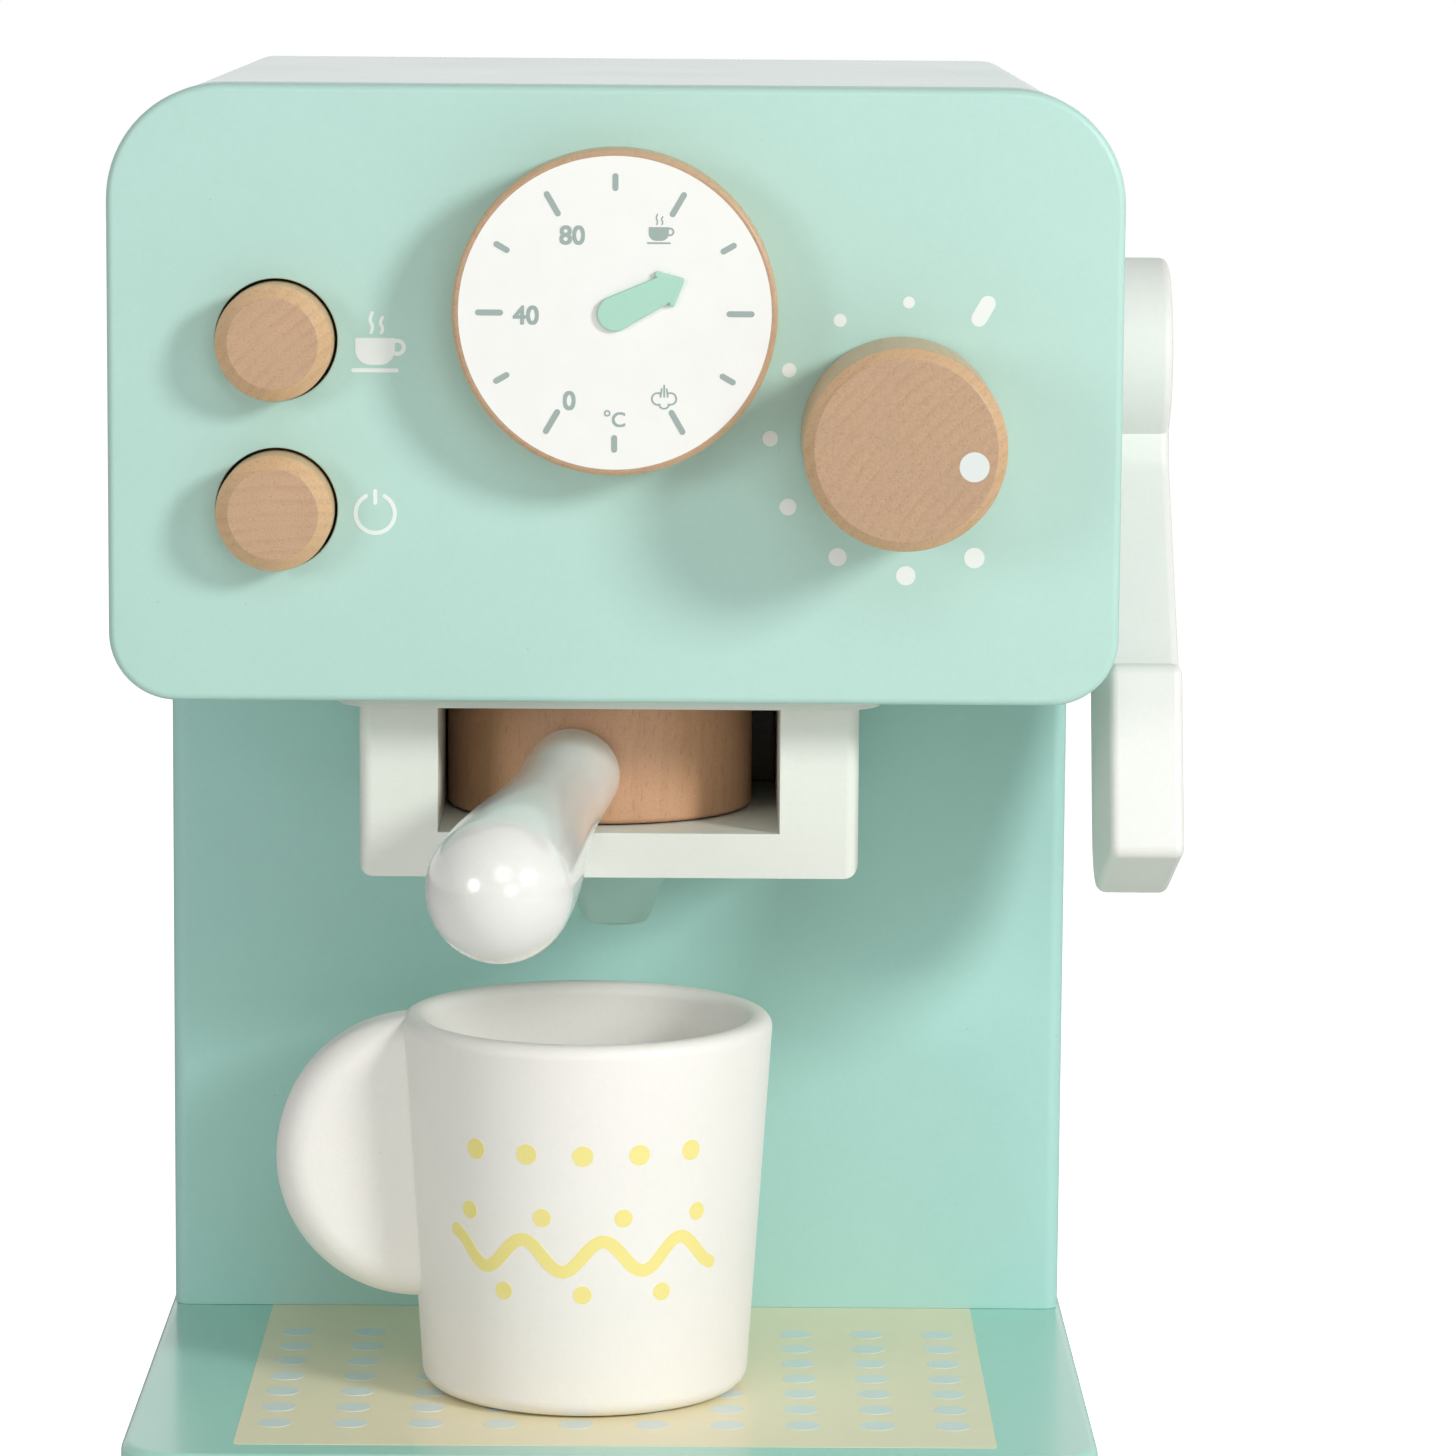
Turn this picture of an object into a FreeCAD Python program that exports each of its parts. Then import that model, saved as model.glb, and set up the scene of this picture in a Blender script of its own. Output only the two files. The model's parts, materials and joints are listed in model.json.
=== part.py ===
import FreeCAD, Part
import math
import os
from FreeCAD import Rotation, Vector

# Toy coffee maker in millimetres. X is to the right, Y away from the front, Z up.
# The origin is the middle of the base board's underside.

# Base board
base_width = 177.0
base_depth = 220.0
base_thickness = 12.0
base_corner_radius = 12.0
base_edge_round = 1.8

# Head and column
body_width = 161.2
body_depth = 205.0
body_back_inset = 1.0
column_height = 134.5
head_reach = 100.0
side_board_thickness = 8.0
column_board_width = 175.0
column_board_thickness = 9.0
column_edge_round = 2.8
head_floor_thickness = 9.0
back_board_thickness = 4.0
back_board_margin = 0.5
top_board_thickness = 18.0
top_corner_radius = 6.5
top_board_drop = 1.0
eased_edge = 1.0

# Front panel
panel_width = 180.0
panel_height = 109.5
panel_thickness = 12.0
panel_top_corner_radius = 20.5
panel_lower_corner_radius = 12.0
panel_edge_round = 1.4

# Push buttons, placed from the middle of the panel's lower edge
button_diameter = 20.6
button_chamfer = 2.3
button_proud = 10.0
button_travel = 5.0
button_gap = 0.5
button_x = -60.0
brew_button_height = 64.5
power_button_height = 34.5
button_stem_diameter = 10.0
button_collar_diameter = 24.0
button_collar_thickness = 4.0
button_spring_pressed_length = 5.0
button_spring_wire = 1.0
button_spring_diameter = 15.0
button_spring_turns = 3.0
guide_board_thickness = 8.0
guide_board_width = 24.0
guide_spacer_height = 8.0
guide_spacer_gap = 3.0
guide_screw_in_panel = 6.0

# Dial and pointer
dial_diameter = 57.0
dial_thickness = 12.5
dial_height = 70.5
dial_edge_round = 0.8
pointer_thickness = 1.0
pointer_tail_radius = 3.1
pointer_reach = 13.7
pointer_barb_half_width = 4.4
pointer_barb_reach = 9.3
pointer_neck_half_width = 2.5
pointer_corner_round = 0.5
pointer_angle = 26.5
pointer_lift = 0.1
pointer_axle_diameter = 4.0
pointer_collar_diameter = 14.0
pointer_collar_thickness = 4.0

# Turning knob
knob_diameter = 35.4
knob_length = 28.0
knob_chamfer = 1.8
knob_x = 50.6
knob_height = 48.2
knob_axle_diameter = 10.0
knob_axle_depth = 16.0
click_wheel_diameter = 30.0
click_wheel_thickness = 6.0
click_wheel_notches = 12
click_notch_radius = 2.2
click_spring_thickness = 1.0
click_spring_length = 34.0
click_block_width = 16.0
click_screw_length = 13.0
click_block_height = 10.0

# Side lever, straight down in its own outline and then swung forward
lever_head_radius = 18.2
lever_neck_half_width = 5.5
lever_neck_end = 23.0
lever_neck_bend = 8.0
lever_front_flare = 22.3
lever_shoulder = 66.5
lever_shoulder_round = 2.5
lever_front_width = 29.0
lever_back_width = 20.5
lever_back_flare_end = 56.0
lever_back_flare_round = 15.0
lever_length = 103.0
lever_front_corner = 2.5
lever_back_corner = 14.0
lever_thickness = 13.6
lever_edge_round = 1.8
lever_swing = 20.0
lever_behind_panel = 80.0
lever_below_panel_top = 52.5
lever_axle_diameter = 10.0
lever_axle_in_lever = 8.0
lever_washer_diameter = 24.0
lever_washer_thickness = 9.5
lever_collar_diameter = 26.0
lever_collar_thickness = 8.0

# Group frame under the head, which holds the portafilter
frame_x = -1.0
plate_width = 98.8
plate_back_gap = 6.0
plate_thickness = 3.0
plate_setback = 14.0
plate_corner_radius = 9.0
frame_front_inset = 3.0
frame_back_inset = 4.0
frame_slot_width = 62.0
frame_slot_height = 23.1
frame_leg = 14.4
frame_bar = 8.2
frame_corner_radius = 2.5
frame_back_thickness = 8.0
nozzle_top_diameter = 22.6
nozzle_tip_diameter = 11.7
nozzle_length = 13.6
nozzle_tip_round = 1.0
nozzle_setback = 50.0
nozzle_tenon_diameter = 8.0
nozzle_tenon_length = 6.0

# Portafilter
disc_diameter = 57.0
disc_thickness = 22.0
disc_edge_round = 1.0
handle_neck_radius = 8.6
handle_neck_length = 18.0
handle_ball_radius = 12.8
handle_length = 87.0
handle_turn = 8.8
handle_droop = 7.1
handle_rise = 1.9
handle_end_round = 1.6
handle_dowel_diameter = 8.0
handle_dowel_in_disc = 12.0
handle_dowel_in_handle = 18.0

# Cup
cup_x = -5.3
cup_setback = 41.5
cup_height = 70.3
cup_rim_radius = 34.9
cup_foot_radius = 30.3
cup_lip_thickness = 5.2
cup_floor = 10.0
cup_foot_round = 3.5
cup_inner_round = 8.0
cup_inner_foot_radius = 25.2
ear_radius = 26.6
ear_offset = 31.2
ear_height = 43.4
ear_thickness = 18.0
ear_round = 6.5
ear_dowel_diameter = 8.0
ear_dowel_in_ear = 12.0
ear_dowel_in_wall = 3.0

# Dowels and screws
dowel_diameter = 4.0
dowel_length = 20.0
dowel_in_board_face = 7.0
dowel_end_inset = 18.0
screw_diameter = 3.5
screw_length = 30.0
screw_head_diameter = 7.0
screw_head_height = 2.6
screw_inset = 22.0
small_screw_diameter = 2.6
back_screw_length = 14.0
small_screw_head_diameter = 4.8
small_screw_head_height = 1.8
slot_share = 0.62
slot_width_share = 0.16

# Clearances
running_fit = 0.08
dowel_fit = 0.03
loose_gap = 0.3
hole_end_gap = 1.0

# Planes that the boards share
y_back = base_depth / 2 - body_back_inset
y_panel = y_back - body_depth
y_head = y_panel + panel_thickness
y_column = y_panel + head_reach
y_column_side = y_column + column_board_thickness
y_side_back = y_back - back_board_thickness
z_base = base_thickness
z_head = z_base + column_height
z_panel_top = z_head + panel_height
z_top = z_panel_top - top_board_drop
z_top_board = z_top - top_board_thickness
z_head_floor = z_head + head_floor_thickness
x_side = body_width / 2
x_side_inner = x_side - side_board_thickness
x_side_middle = x_side - side_board_thickness / 2

X = Vector(1, 0, 0)
Y = Vector(0, 1, 0)
Z = Vector(0, 0, 1)


def block(x0, x1, y0, y1, z0, z1):
    """A box between two corners."""
    return Part.makeBox(x1 - x0, y1 - y0, z1 - z0, Vector(x0, y0, z0))


def rod(diameter, start, direction, length):
    """A round bar that starts at a point and runs along a direction."""
    return Part.makeCylinder(diameter / 2, length, start, direction)


def union(shapes):
    """One shape fused from several."""
    return shapes[0].multiFuse(shapes[1:]).removeSplitter()


def edges_where(shape, test):
    """Edges whose middle point and direction pass a test."""
    chosen = []
    for edge in shape.Edges:
        middle = edge.valueAt((edge.FirstParameter + edge.LastParameter) / 2)
        ends = edge.valueAt(edge.LastParameter) - edge.valueAt(edge.FirstParameter)
        if test(middle, ends):
            chosen.append(edge)
    return chosen


def along(direction, ends):
    """True for a straight run in one direction."""
    return ends.Length > 1e-6 and abs(abs(ends.normalize().dot(direction)) - 1) < 1e-6


def near(value, target):
    return abs(value - target) < 1e-4


def revolved(profile, axis_point, axis):
    """A turned solid from the edges of a closed half profile."""
    return Part.Face(Part.Wire(profile)).revolve(axis_point, axis, 360)


def line(a, b):
    return Part.LineSegment(a, b).toShape()


def arc_through(a, middle, b):
    return Part.Arc(a, middle, b).toShape()


def round_corner(corner, before, after, radius):
    """Tangent points and the middle of an arc that rounds a corner."""
    to_before = (before - corner).normalize()
    to_after = (after - corner).normalize()
    half = to_before.getAngle(to_after) / 2
    reach = radius / math.tan(half)
    inward = (to_before + to_after).normalize()
    centre = corner + inward * (radius / math.sin(half))
    return corner + to_before * reach, centre - inward * radius, corner + to_after * reach


def rounded_outline(corners):
    """Edges of a closed outline, where each corner is a point and its radius."""
    stops = []
    count = len(corners)
    for index, (corner, radius) in enumerate(corners):
        before = corners[index - 1][0]
        after = corners[(index + 1) % count][0]
        if radius > 0:
            stops.append(round_corner(corner, before, after, radius))
        else:
            stops.append((corner, None, corner))
    edges = []
    for index, (start, middle, end) in enumerate(stops):
        if middle is not None:
            edges.append(arc_through(start, middle, end))
        following = stops[(index + 1) % count][0]
        if (following - end).Length > 1e-6:
            edges.append(line(end, following))
    return edges


def corner_arc(start, corner, end):
    """The arc that touches two equal runs from a corner at their ends."""
    half = (start - corner).getAngle(end - corner) / 2
    return arc_through(*round_corner(corner, start, end, (start - corner).Length * math.tan(half)))


def two_arcs(start, start_tangent, end, end_tangent):
    """Two smoothly joined arcs that leave and arrive along given tangents."""
    chord = end - start
    spread = 2 * (1 - start_tangent.dot(end_tangent))
    onward = chord.dot(start_tangent + end_tangent)
    reach = (math.sqrt(onward ** 2 + spread * chord.dot(chord)) - onward) / spread
    first = start + start_tangent * reach
    second = end - end_tangent * reach
    joint = (first + second) / 2
    return [corner_arc(start, first, joint), corner_arc(joint, second, end)]


def coil_stops(start, radius, length, turns):
    """Points and tangents at each quarter turn of a coil that winds along Y."""
    quarters = round(4 * turns)
    rise = length / (2 * math.pi * turns)
    stops = []
    for index in range(quarters + 1):
        angle = 2 * math.pi * turns * index / quarters
        point = Vector(radius * math.cos(angle), rise * angle, radius * math.sin(angle))
        tangent = Vector(-radius * math.sin(angle), rise, radius * math.cos(angle))
        stops.append((start + point, tangent.normalize()))
    return stops


def screw(head_face, direction, diameter, length, head_diameter, head_height):
    """A wood screw whose head's flat top is at a point and whose tip runs along a direction."""
    shank = rod(diameter, head_face, direction, length)
    head = Part.makeCone(head_diameter / 2, diameter / 2, head_height, head_face, direction)
    body = union([shank, head])
    across = X if abs(direction.dot(X)) < 0.5 else Y
    other = direction.cross(across)
    slot_length = head_diameter * slot_share
    slot_width = head_diameter * slot_width_share
    for wide, thin in ((across, other), (other, across)):
        corner = head_face - wide * (slot_length / 2) - thin * (slot_width / 2)
        profile = Part.makePolygon([
            corner,
            corner + wide * slot_length,
            corner + wide * slot_length + thin * slot_width,
            corner + thin * slot_width,
            corner,
        ])
        body = body.cut(Part.Face(profile).extrude(direction * (head_height * slot_share)))
    return body


def screw_hole(head_face, direction, diameter, length, head_diameter, head_height):
    """The countersunk hole that a screw fills."""
    fit = dowel_fit
    shank = rod(diameter + 2 * fit, head_face, direction, length + hole_end_gap)
    head = Part.makeCone(head_diameter / 2 + fit, diameter / 2 + fit, head_height, head_face, direction)
    return union([shank, head])


def large_screw(head_face, direction):
    return screw(head_face, direction, screw_diameter, screw_length, screw_head_diameter,
                 screw_head_height)


def large_screw_hole(head_face, direction):
    return screw_hole(head_face, direction, screw_diameter, screw_length, screw_head_diameter,
                      screw_head_height)


def small_screw(head_face, length):
    """A small screw driven forward from behind."""
    return screw(head_face, -Y, small_screw_diameter, length, small_screw_head_diameter,
                 small_screw_head_height)


def small_screw_hole(head_face, length):
    return screw_hole(head_face, -Y, small_screw_diameter, length, small_screw_head_diameter,
                      small_screw_head_height)


def dowel_hole(start, direction):
    """A hole a little wider and longer at both ends than its dowel."""
    return rod(dowel_diameter + 2 * dowel_fit, start - direction * hole_end_gap, direction,
               dowel_length + 2 * hole_end_gap)


def ring(outer, bore, start, direction, thickness):
    """A round disc with a hole through its middle."""
    return rod(outer, start, direction, thickness).cut(rod(bore, start, direction, thickness))


# Where the fasteners stand

def mirrored(distance):
    return (-distance, distance)


def panel_dowel_starts():
    """Dowels that tie the panel to the side boards' front edges."""
    heights = (z_head + dowel_end_inset, z_top_board - dowel_end_inset)
    depth = y_head - dowel_in_board_face
    return [Vector(x, depth, z) for x in mirrored(x_side_middle) for z in heights]


def top_dowel_starts():
    """Dowels that stand up from the side boards into the top board."""
    depths = (y_head + dowel_end_inset, y_side_back - dowel_end_inset)
    height = z_top_board + dowel_in_board_face
    return [Vector(x, y, height) for x in mirrored(x_side_middle) for y in depths]


def column_dowel_starts():
    """Dowels that tie the column's front board to the side boards."""
    heights = (z_base + dowel_end_inset, z_head - dowel_end_inset)
    depth = y_column_side - dowel_in_board_face
    return [Vector(x, depth, z) for x in mirrored(x_side_middle) for z in heights]


def base_screw_heads():
    depths = (y_column_side + screw_inset, y_side_back - screw_inset)
    return [Vector(x, y, 0) for x in mirrored(x_side_middle) for y in depths]


def back_screw_heads():
    heights = (z_base + screw_inset, z_head, z_top_board - screw_inset)
    return [Vector(x, y_back, z) for x in mirrored(x_side_middle) for z in heights]


def frame_screw_heads():
    """Screws that go down through the head's floor and the plate into the frame's legs."""
    reach = (frame_slot_width + frame_leg) / 2
    depths = (y_frame_front + dowel_end_inset, y_frame_back - dowel_end_inset)
    return [Vector(frame_x + x, y, z_head_floor) for x in mirrored(reach) for y in depths]


def guide_screw_heads():
    """Screws that hold the button guide to the panel, through the two spacers."""
    return [Vector(button_x, y_guide_back, z) for z in guide_spacer_heights()]


# Places of the controls
y_collar_front = y_head + loose_gap
y_collar_back = y_collar_front + button_collar_thickness
y_guide_front = y_collar_back + button_travel + button_spring_pressed_length
y_guide_back = y_guide_front + guide_board_thickness
z_brew = z_head + brew_button_height
z_power = z_head + power_button_height
z_dial = z_head + dial_height
z_knob = z_head + knob_height
y_dial_face = y_panel - dial_thickness
y_click_wheel = y_head + loose_gap
y_click_block_back = y_head + click_wheel_thickness
x_click_spring = knob_x - click_wheel_diameter / 2 - loose_gap - click_notch_radius
z_click_block = z_knob - click_spring_length / 2
guide_screw_length = y_guide_back - y_head + guide_screw_in_panel
z_lever = z_panel_top - lever_below_panel_top
y_lever = y_panel + lever_behind_panel
x_lever = x_side + lever_washer_thickness + loose_gap
x_lever_collar = x_side_inner - loose_gap - lever_collar_thickness

# Places of the group frame and the portafilter
y_plate_front = y_panel + plate_setback
y_plate_back = y_column - plate_back_gap
y_frame_front = y_plate_front + frame_front_inset
y_frame_back = y_plate_back - frame_back_inset
z_plate = z_head - plate_thickness
z_frame = z_plate - frame_slot_height - frame_bar
z_slot_floor = z_frame + frame_bar
y_frame_stop = y_frame_back - frame_back_thickness
disc_x = frame_x - (frame_slot_width - disc_diameter) / 2 + loose_gap
disc_y = y_frame_stop - loose_gap - disc_diameter / 2
z_disc = z_slot_floor + loose_gap
y_nozzle = y_panel + nozzle_setback
cup_y = y_panel + cup_setback
z_cup = z_base + loose_gap


def guide_spacer_heights():
    """Centre heights of the spacers above and below the two buttons."""
    reach = button_collar_diameter / 2 + guide_spacer_gap + guide_spacer_height / 2
    return (z_brew + reach, z_power - reach)


def button_heights():
    return {"brew": z_brew, "power": z_power}


# Boards

def base_board():
    board = block(-base_width / 2, base_width / 2, -base_depth / 2, base_depth / 2, 0, z_base)
    uprights = edges_where(board, lambda middle, ends: along(Z, ends))
    board = board.makeFillet(base_corner_radius, uprights)
    rim = edges_where(board, lambda middle, ends: near(middle.z, z_base))
    board = board.makeFillet(base_edge_round, rim)
    lower_rim = edges_where(board, lambda middle, ends: near(middle.z, 0))
    board = board.makeChamfer(eased_edge, lower_rim)
    for head in base_screw_heads():
        board = board.cut(large_screw_hole(head, Z))
    return board


def side_board(side):
    """One side, which stands on the base and reaches forward as the side of the head."""
    outline = [
        Vector(0, y_head, z_head), Vector(0, y_head, z_top_board),
        Vector(0, y_side_back, z_top_board), Vector(0, y_side_back, z_base),
        Vector(0, y_column_side, z_base), Vector(0, y_column_side, z_head),
        Vector(0, y_head, z_head),
    ]
    x_outer = side * x_side
    x_inner = side * x_side_inner
    board = Part.Face(Part.makePolygon(outline)).extrude(X * side_board_thickness)
    board.translate(Vector(min(x_outer, x_inner), 0, 0))
    underside = edges_where(board, lambda middle, ends: near(middle.x, x_outer)
                            and near(middle.z, z_head) and middle.y < y_column)
    board = board.makeFillet(eased_edge, underside)
    for start in panel_dowel_starts():
        board = board.cut(dowel_hole(start, Y))
    for start in top_dowel_starts():
        board = board.cut(dowel_hole(start, -Z))
    for start in column_dowel_starts():
        board = board.cut(dowel_hole(start, Y))
    for head in base_screw_heads():
        board = board.cut(large_screw_hole(head, Z))
    for head in back_screw_heads():
        board = board.cut(small_screw_hole(head, back_screw_length))
    if side > 0:
        bore = lever_axle_diameter + 2 * running_fit
        board = board.cut(rod(bore, Vector(0, y_lever, z_lever), X, body_width))
    return board


def column_front_board():
    half = column_board_width / 2
    board = block(-half, half, y_column, y_column_side, z_base, z_head)
    corners = edges_where(board, lambda middle, ends: along(Z, ends) and near(middle.y, y_column))
    board = board.makeFillet(column_edge_round, corners)
    for start in column_dowel_starts():
        board = board.cut(dowel_hole(start, Y))
    return board


def back_board():
    margin = back_board_margin
    board = block(-x_side + margin, x_side - margin, y_side_back, y_back,
                  z_base + margin, z_top_board - margin)
    rim = edges_where(board, lambda middle, ends: near(middle.y, y_back))
    board = board.makeFillet(eased_edge, rim)
    for head in back_screw_heads():
        board = board.cut(small_screw_hole(head, back_screw_length))
    return board


def top_board():
    board = block(-x_side, x_side, y_head, y_back, z_top_board, z_top)
    shoulders = edges_where(board, lambda middle, ends: along(Y, ends) and near(middle.z, z_top))
    board = board.makeFillet(top_corner_radius, shoulders)
    rim = edges_where(board, lambda middle, ends: near(middle.y, y_back)
                      and middle.z > z_top_board + eased_edge)
    board = board.makeFillet(eased_edge, rim)
    for start in top_dowel_starts():
        board = board.cut(dowel_hole(start, -Z))
    return board


def head_floor_board():
    board = block(-x_side_inner, x_side_inner, y_head, y_column_side, z_head, z_head_floor)
    for head in frame_screw_heads():
        board = board.cut(large_screw_hole(head, -Z))
    return board


def front_panel():
    panel = block(-panel_width / 2, panel_width / 2, y_panel, y_head, z_head, z_panel_top)
    z_middle = (z_head + z_panel_top) / 2
    upper = edges_where(panel, lambda middle, ends: along(Y, ends) and middle.z > z_middle)
    panel = panel.makeFillet(panel_top_corner_radius, upper)
    lower = edges_where(panel, lambda middle, ends: along(Y, ends) and near(middle.z, z_head)
                        and abs(middle.x) > x_side)
    panel = panel.makeFillet(panel_lower_corner_radius, lower)
    rim = edges_where(panel, lambda middle, ends: near(middle.y, y_panel) or near(middle.y, y_head))
    panel = panel.makeFillet(panel_edge_round, rim)
    for height in button_heights().values():
        bore = button_diameter + 2 * button_gap
        panel = panel.cut(rod(bore, Vector(button_x, y_panel, height), Y, panel_thickness))
    knob_bore = knob_axle_diameter + 2 * running_fit
    panel = panel.cut(rod(knob_bore, Vector(knob_x, y_panel, z_knob), Y, panel_thickness))
    pointer_bore = pointer_axle_diameter + 2 * running_fit
    panel = panel.cut(rod(pointer_bore, Vector(0, y_panel, z_dial), Y, panel_thickness))
    for start in panel_dowel_starts():
        panel = panel.cut(dowel_hole(start, Y))
    for head in guide_screw_heads():
        panel = panel.cut(small_screw_hole(head, guide_screw_length))
    return panel.cut(small_screw_hole(click_screw_head(), click_screw_length))


# Dowels and screws

def dowel_group(starts, direction):
    return Part.makeCompound([rod(dowel_diameter, start, direction, dowel_length) for start in starts])


def panel_dowels():
    return dowel_group(panel_dowel_starts(), Y)


def top_dowels():
    return dowel_group(top_dowel_starts(), -Z)


def column_dowels():
    return dowel_group(column_dowel_starts(), Y)


def base_screws():
    return Part.makeCompound([large_screw(head, Z) for head in base_screw_heads()])


def back_screws():
    return Part.makeCompound([small_screw(head, back_screw_length) for head in back_screw_heads()])


def frame_screws():
    return Part.makeCompound([large_screw(head, -Z) for head in frame_screw_heads()])


def guide_screws():
    return Part.makeCompound([small_screw(head, guide_screw_length) for head in guide_screw_heads()])


# Push buttons

def push_button(height):
    """A turned button with a thinner stem behind, which slides in the guide board."""
    centre = Vector(button_x, 0, height)
    front = centre + Y * (y_panel - button_proud)
    body = rod(button_diameter, front, Y, y_collar_front - front.y)
    rim = edges_where(body, lambda middle, ends: near(middle.y, front.y))
    body = body.makeChamfer(button_chamfer, rim)
    stem_length = y_guide_back - button_travel + loose_gap - y_collar_front
    stem = rod(button_stem_diameter, centre + Y * y_collar_front, Y, stem_length)
    return union([body, stem])


def button_collar(height):
    """A washer glued on the stem, which keeps the button from coming out of the panel."""
    start = Vector(button_x, y_collar_front, height)
    bore = button_stem_diameter + 2 * dowel_fit
    return ring(button_collar_diameter, bore, start, Y, button_collar_thickness)


def button_spring(height):
    """A coil spring round the stem, between the collar and the guide board."""
    start = Vector(button_x, y_collar_back + button_spring_wire / 2, height)
    coil_length = y_guide_front - y_collar_back - button_spring_wire
    stops = coil_stops(start, button_spring_diameter / 2, coil_length, button_spring_turns)
    arcs = []
    for (point, tangent), (next_point, next_tangent) in zip(stops, stops[1:]):
        arcs += two_arcs(point, tangent, next_point, next_tangent)
    first_point, first_tangent = stops[0]
    section = Part.Circle(first_point, first_tangent, button_spring_wire / 2).toShape()
    return Part.Wire(arcs).makePipeShell([Part.Wire(section)], True, False)


def button_guide_board():
    """The board behind the buttons that the stems slide in."""
    upper, lower = guide_spacer_heights()
    half = guide_spacer_height / 2
    board = block(button_x - guide_board_width / 2, button_x + guide_board_width / 2,
                  y_guide_front, y_guide_back, lower - half, upper + half)
    for height in button_heights().values():
        bore = button_stem_diameter + 2 * running_fit
        board = board.cut(rod(bore, Vector(button_x, y_guide_front, height), Y,
                              guide_board_thickness))
    for head in guide_screw_heads():
        board = board.cut(small_screw_hole(head, guide_screw_length))
    return board


def guide_spacers():
    """Two blocks that hold the guide board off the panel."""
    blocks = []
    half = guide_spacer_height / 2
    for height in guide_spacer_heights():
        spacer = block(button_x - guide_board_width / 2, button_x + guide_board_width / 2,
                       y_head, y_guide_front, height - half, height + half)
        hole = rod(small_screw_diameter + 2 * dowel_fit, Vector(button_x, y_head, height), Y,
                   y_guide_front - y_head)
        blocks.append(spacer.cut(hole))
    return Part.makeCompound(blocks)


# Dial and pointer

def dial_disc():
    start = Vector(0, y_dial_face, z_dial)
    disc = rod(dial_diameter, start, Y, dial_thickness)
    rim = edges_where(disc, lambda middle, ends: near(middle.y, y_dial_face))
    disc = disc.makeFillet(dial_edge_round, rim)
    return disc.cut(rod(pointer_axle_diameter + 2 * running_fit, start, Y, dial_thickness))


def dial_pointer():
    """A flat arrow with a round tail, drawn pointing along X and then turned up."""
    tail = pointer_tail_radius
    back_y = y_dial_face - pointer_lift
    arrow = [
        (Vector(0, 0, tail), 0),
        (Vector(pointer_barb_reach, 0, pointer_neck_half_width), 0),
        (Vector(pointer_barb_reach - pointer_corner_round, 0, pointer_barb_half_width),
         pointer_corner_round),
        (Vector(pointer_reach, 0, 0), pointer_corner_round),
        (Vector(pointer_barb_reach - pointer_corner_round, 0, -pointer_barb_half_width),
         pointer_corner_round),
        (Vector(pointer_barb_reach, 0, -pointer_neck_half_width), 0),
        (Vector(0, 0, -tail), 0),
    ]
    outline = rounded_outline(arrow)
    outline = outline[:-1] + [arc_through(Vector(0, 0, -tail), Vector(-tail, 0, 0), Vector(0, 0, tail))]
    face = Part.Face(Part.Wire(Part.__sortEdges__(outline)))
    pointer = face.extrude(-Y * pointer_thickness)
    pointer.rotate(Vector(0, 0, 0), Y, -pointer_angle)
    pointer.translate(Vector(0, back_y, z_dial))
    return pointer


def pointer_axle():
    start = Vector(0, y_dial_face - pointer_lift, z_dial)
    length = y_head + loose_gap + pointer_collar_thickness - start.y
    return rod(pointer_axle_diameter, start, Y, length)


def pointer_collar():
    start = Vector(0, y_head + loose_gap, z_dial)
    bore = pointer_axle_diameter + 2 * dowel_fit
    return ring(pointer_collar_diameter, bore, start, Y, pointer_collar_thickness)


# Turning knob

def control_knob():
    """A turned knob with a blind hole for its axle."""
    start = Vector(knob_x, y_panel - loose_gap - knob_length, z_knob)
    knob = rod(knob_diameter, start, Y, knob_length)
    rim = edges_where(knob, lambda middle, ends: near(middle.y, start.y))
    knob = knob.makeChamfer(knob_chamfer, rim)
    back = edges_where(knob, lambda middle, ends: near(middle.y, start.y + knob_length))
    knob = knob.makeFillet(eased_edge / 2, back)
    hole = rod(knob_axle_diameter + 2 * dowel_fit, Vector(knob_x, y_panel - loose_gap, z_knob),
               -Y, knob_axle_depth + hole_end_gap)
    return knob.cut(hole)


def knob_axle():
    start = Vector(knob_x, y_panel - loose_gap - knob_axle_depth, z_knob)
    return rod(knob_axle_diameter, start, Y, y_click_wheel + click_wheel_thickness - start.y)


def click_wheel():
    """A notched wheel on the axle, which clicks past the spring."""
    start = Vector(knob_x, y_click_wheel, z_knob)
    wheel = rod(click_wheel_diameter, start, Y, click_wheel_thickness)
    for index in range(click_wheel_notches):
        angle = 2 * math.pi * index / click_wheel_notches
        offset = Vector(math.cos(angle), 0, math.sin(angle)) * (click_wheel_diameter / 2)
        wheel = wheel.cut(rod(2 * click_notch_radius, start + offset, Y, click_wheel_thickness))
    return wheel.cut(rod(knob_axle_diameter + 2 * dowel_fit, start, Y, click_wheel_thickness))


def click_screw_head():
    return Vector(x_click_spring - click_block_width / 2, y_click_block_back, z_click_block)


def click_spring():
    """A thin leaf with a round nose, which stands on the block beside the wheel."""
    half = click_spring_thickness / 2
    leaf = block(x_click_spring - half, x_click_spring + half,
                 y_click_wheel + half, y_click_wheel + click_wheel_thickness - half,
                 z_click_block - click_block_height / 2, z_knob + 2 * click_notch_radius)
    nose = rod(2 * click_notch_radius, Vector(x_click_spring, y_click_wheel + half, z_knob), Y,
               click_wheel_thickness - click_spring_thickness)
    return union([leaf, nose])


def click_spring_block():
    """The block that holds the leaf on the back of the panel."""
    x_leaf = x_click_spring - click_spring_thickness / 2
    holder = block(x_leaf - click_block_width, x_leaf, y_head, y_click_block_back,
                   z_click_block - click_block_height / 2, z_click_block + click_block_height / 2)
    return holder.cut(small_screw_hole(click_screw_head(), click_screw_length))


def click_spring_screw():
    return small_screw(click_screw_head(), click_screw_length)


# Side lever

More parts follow.
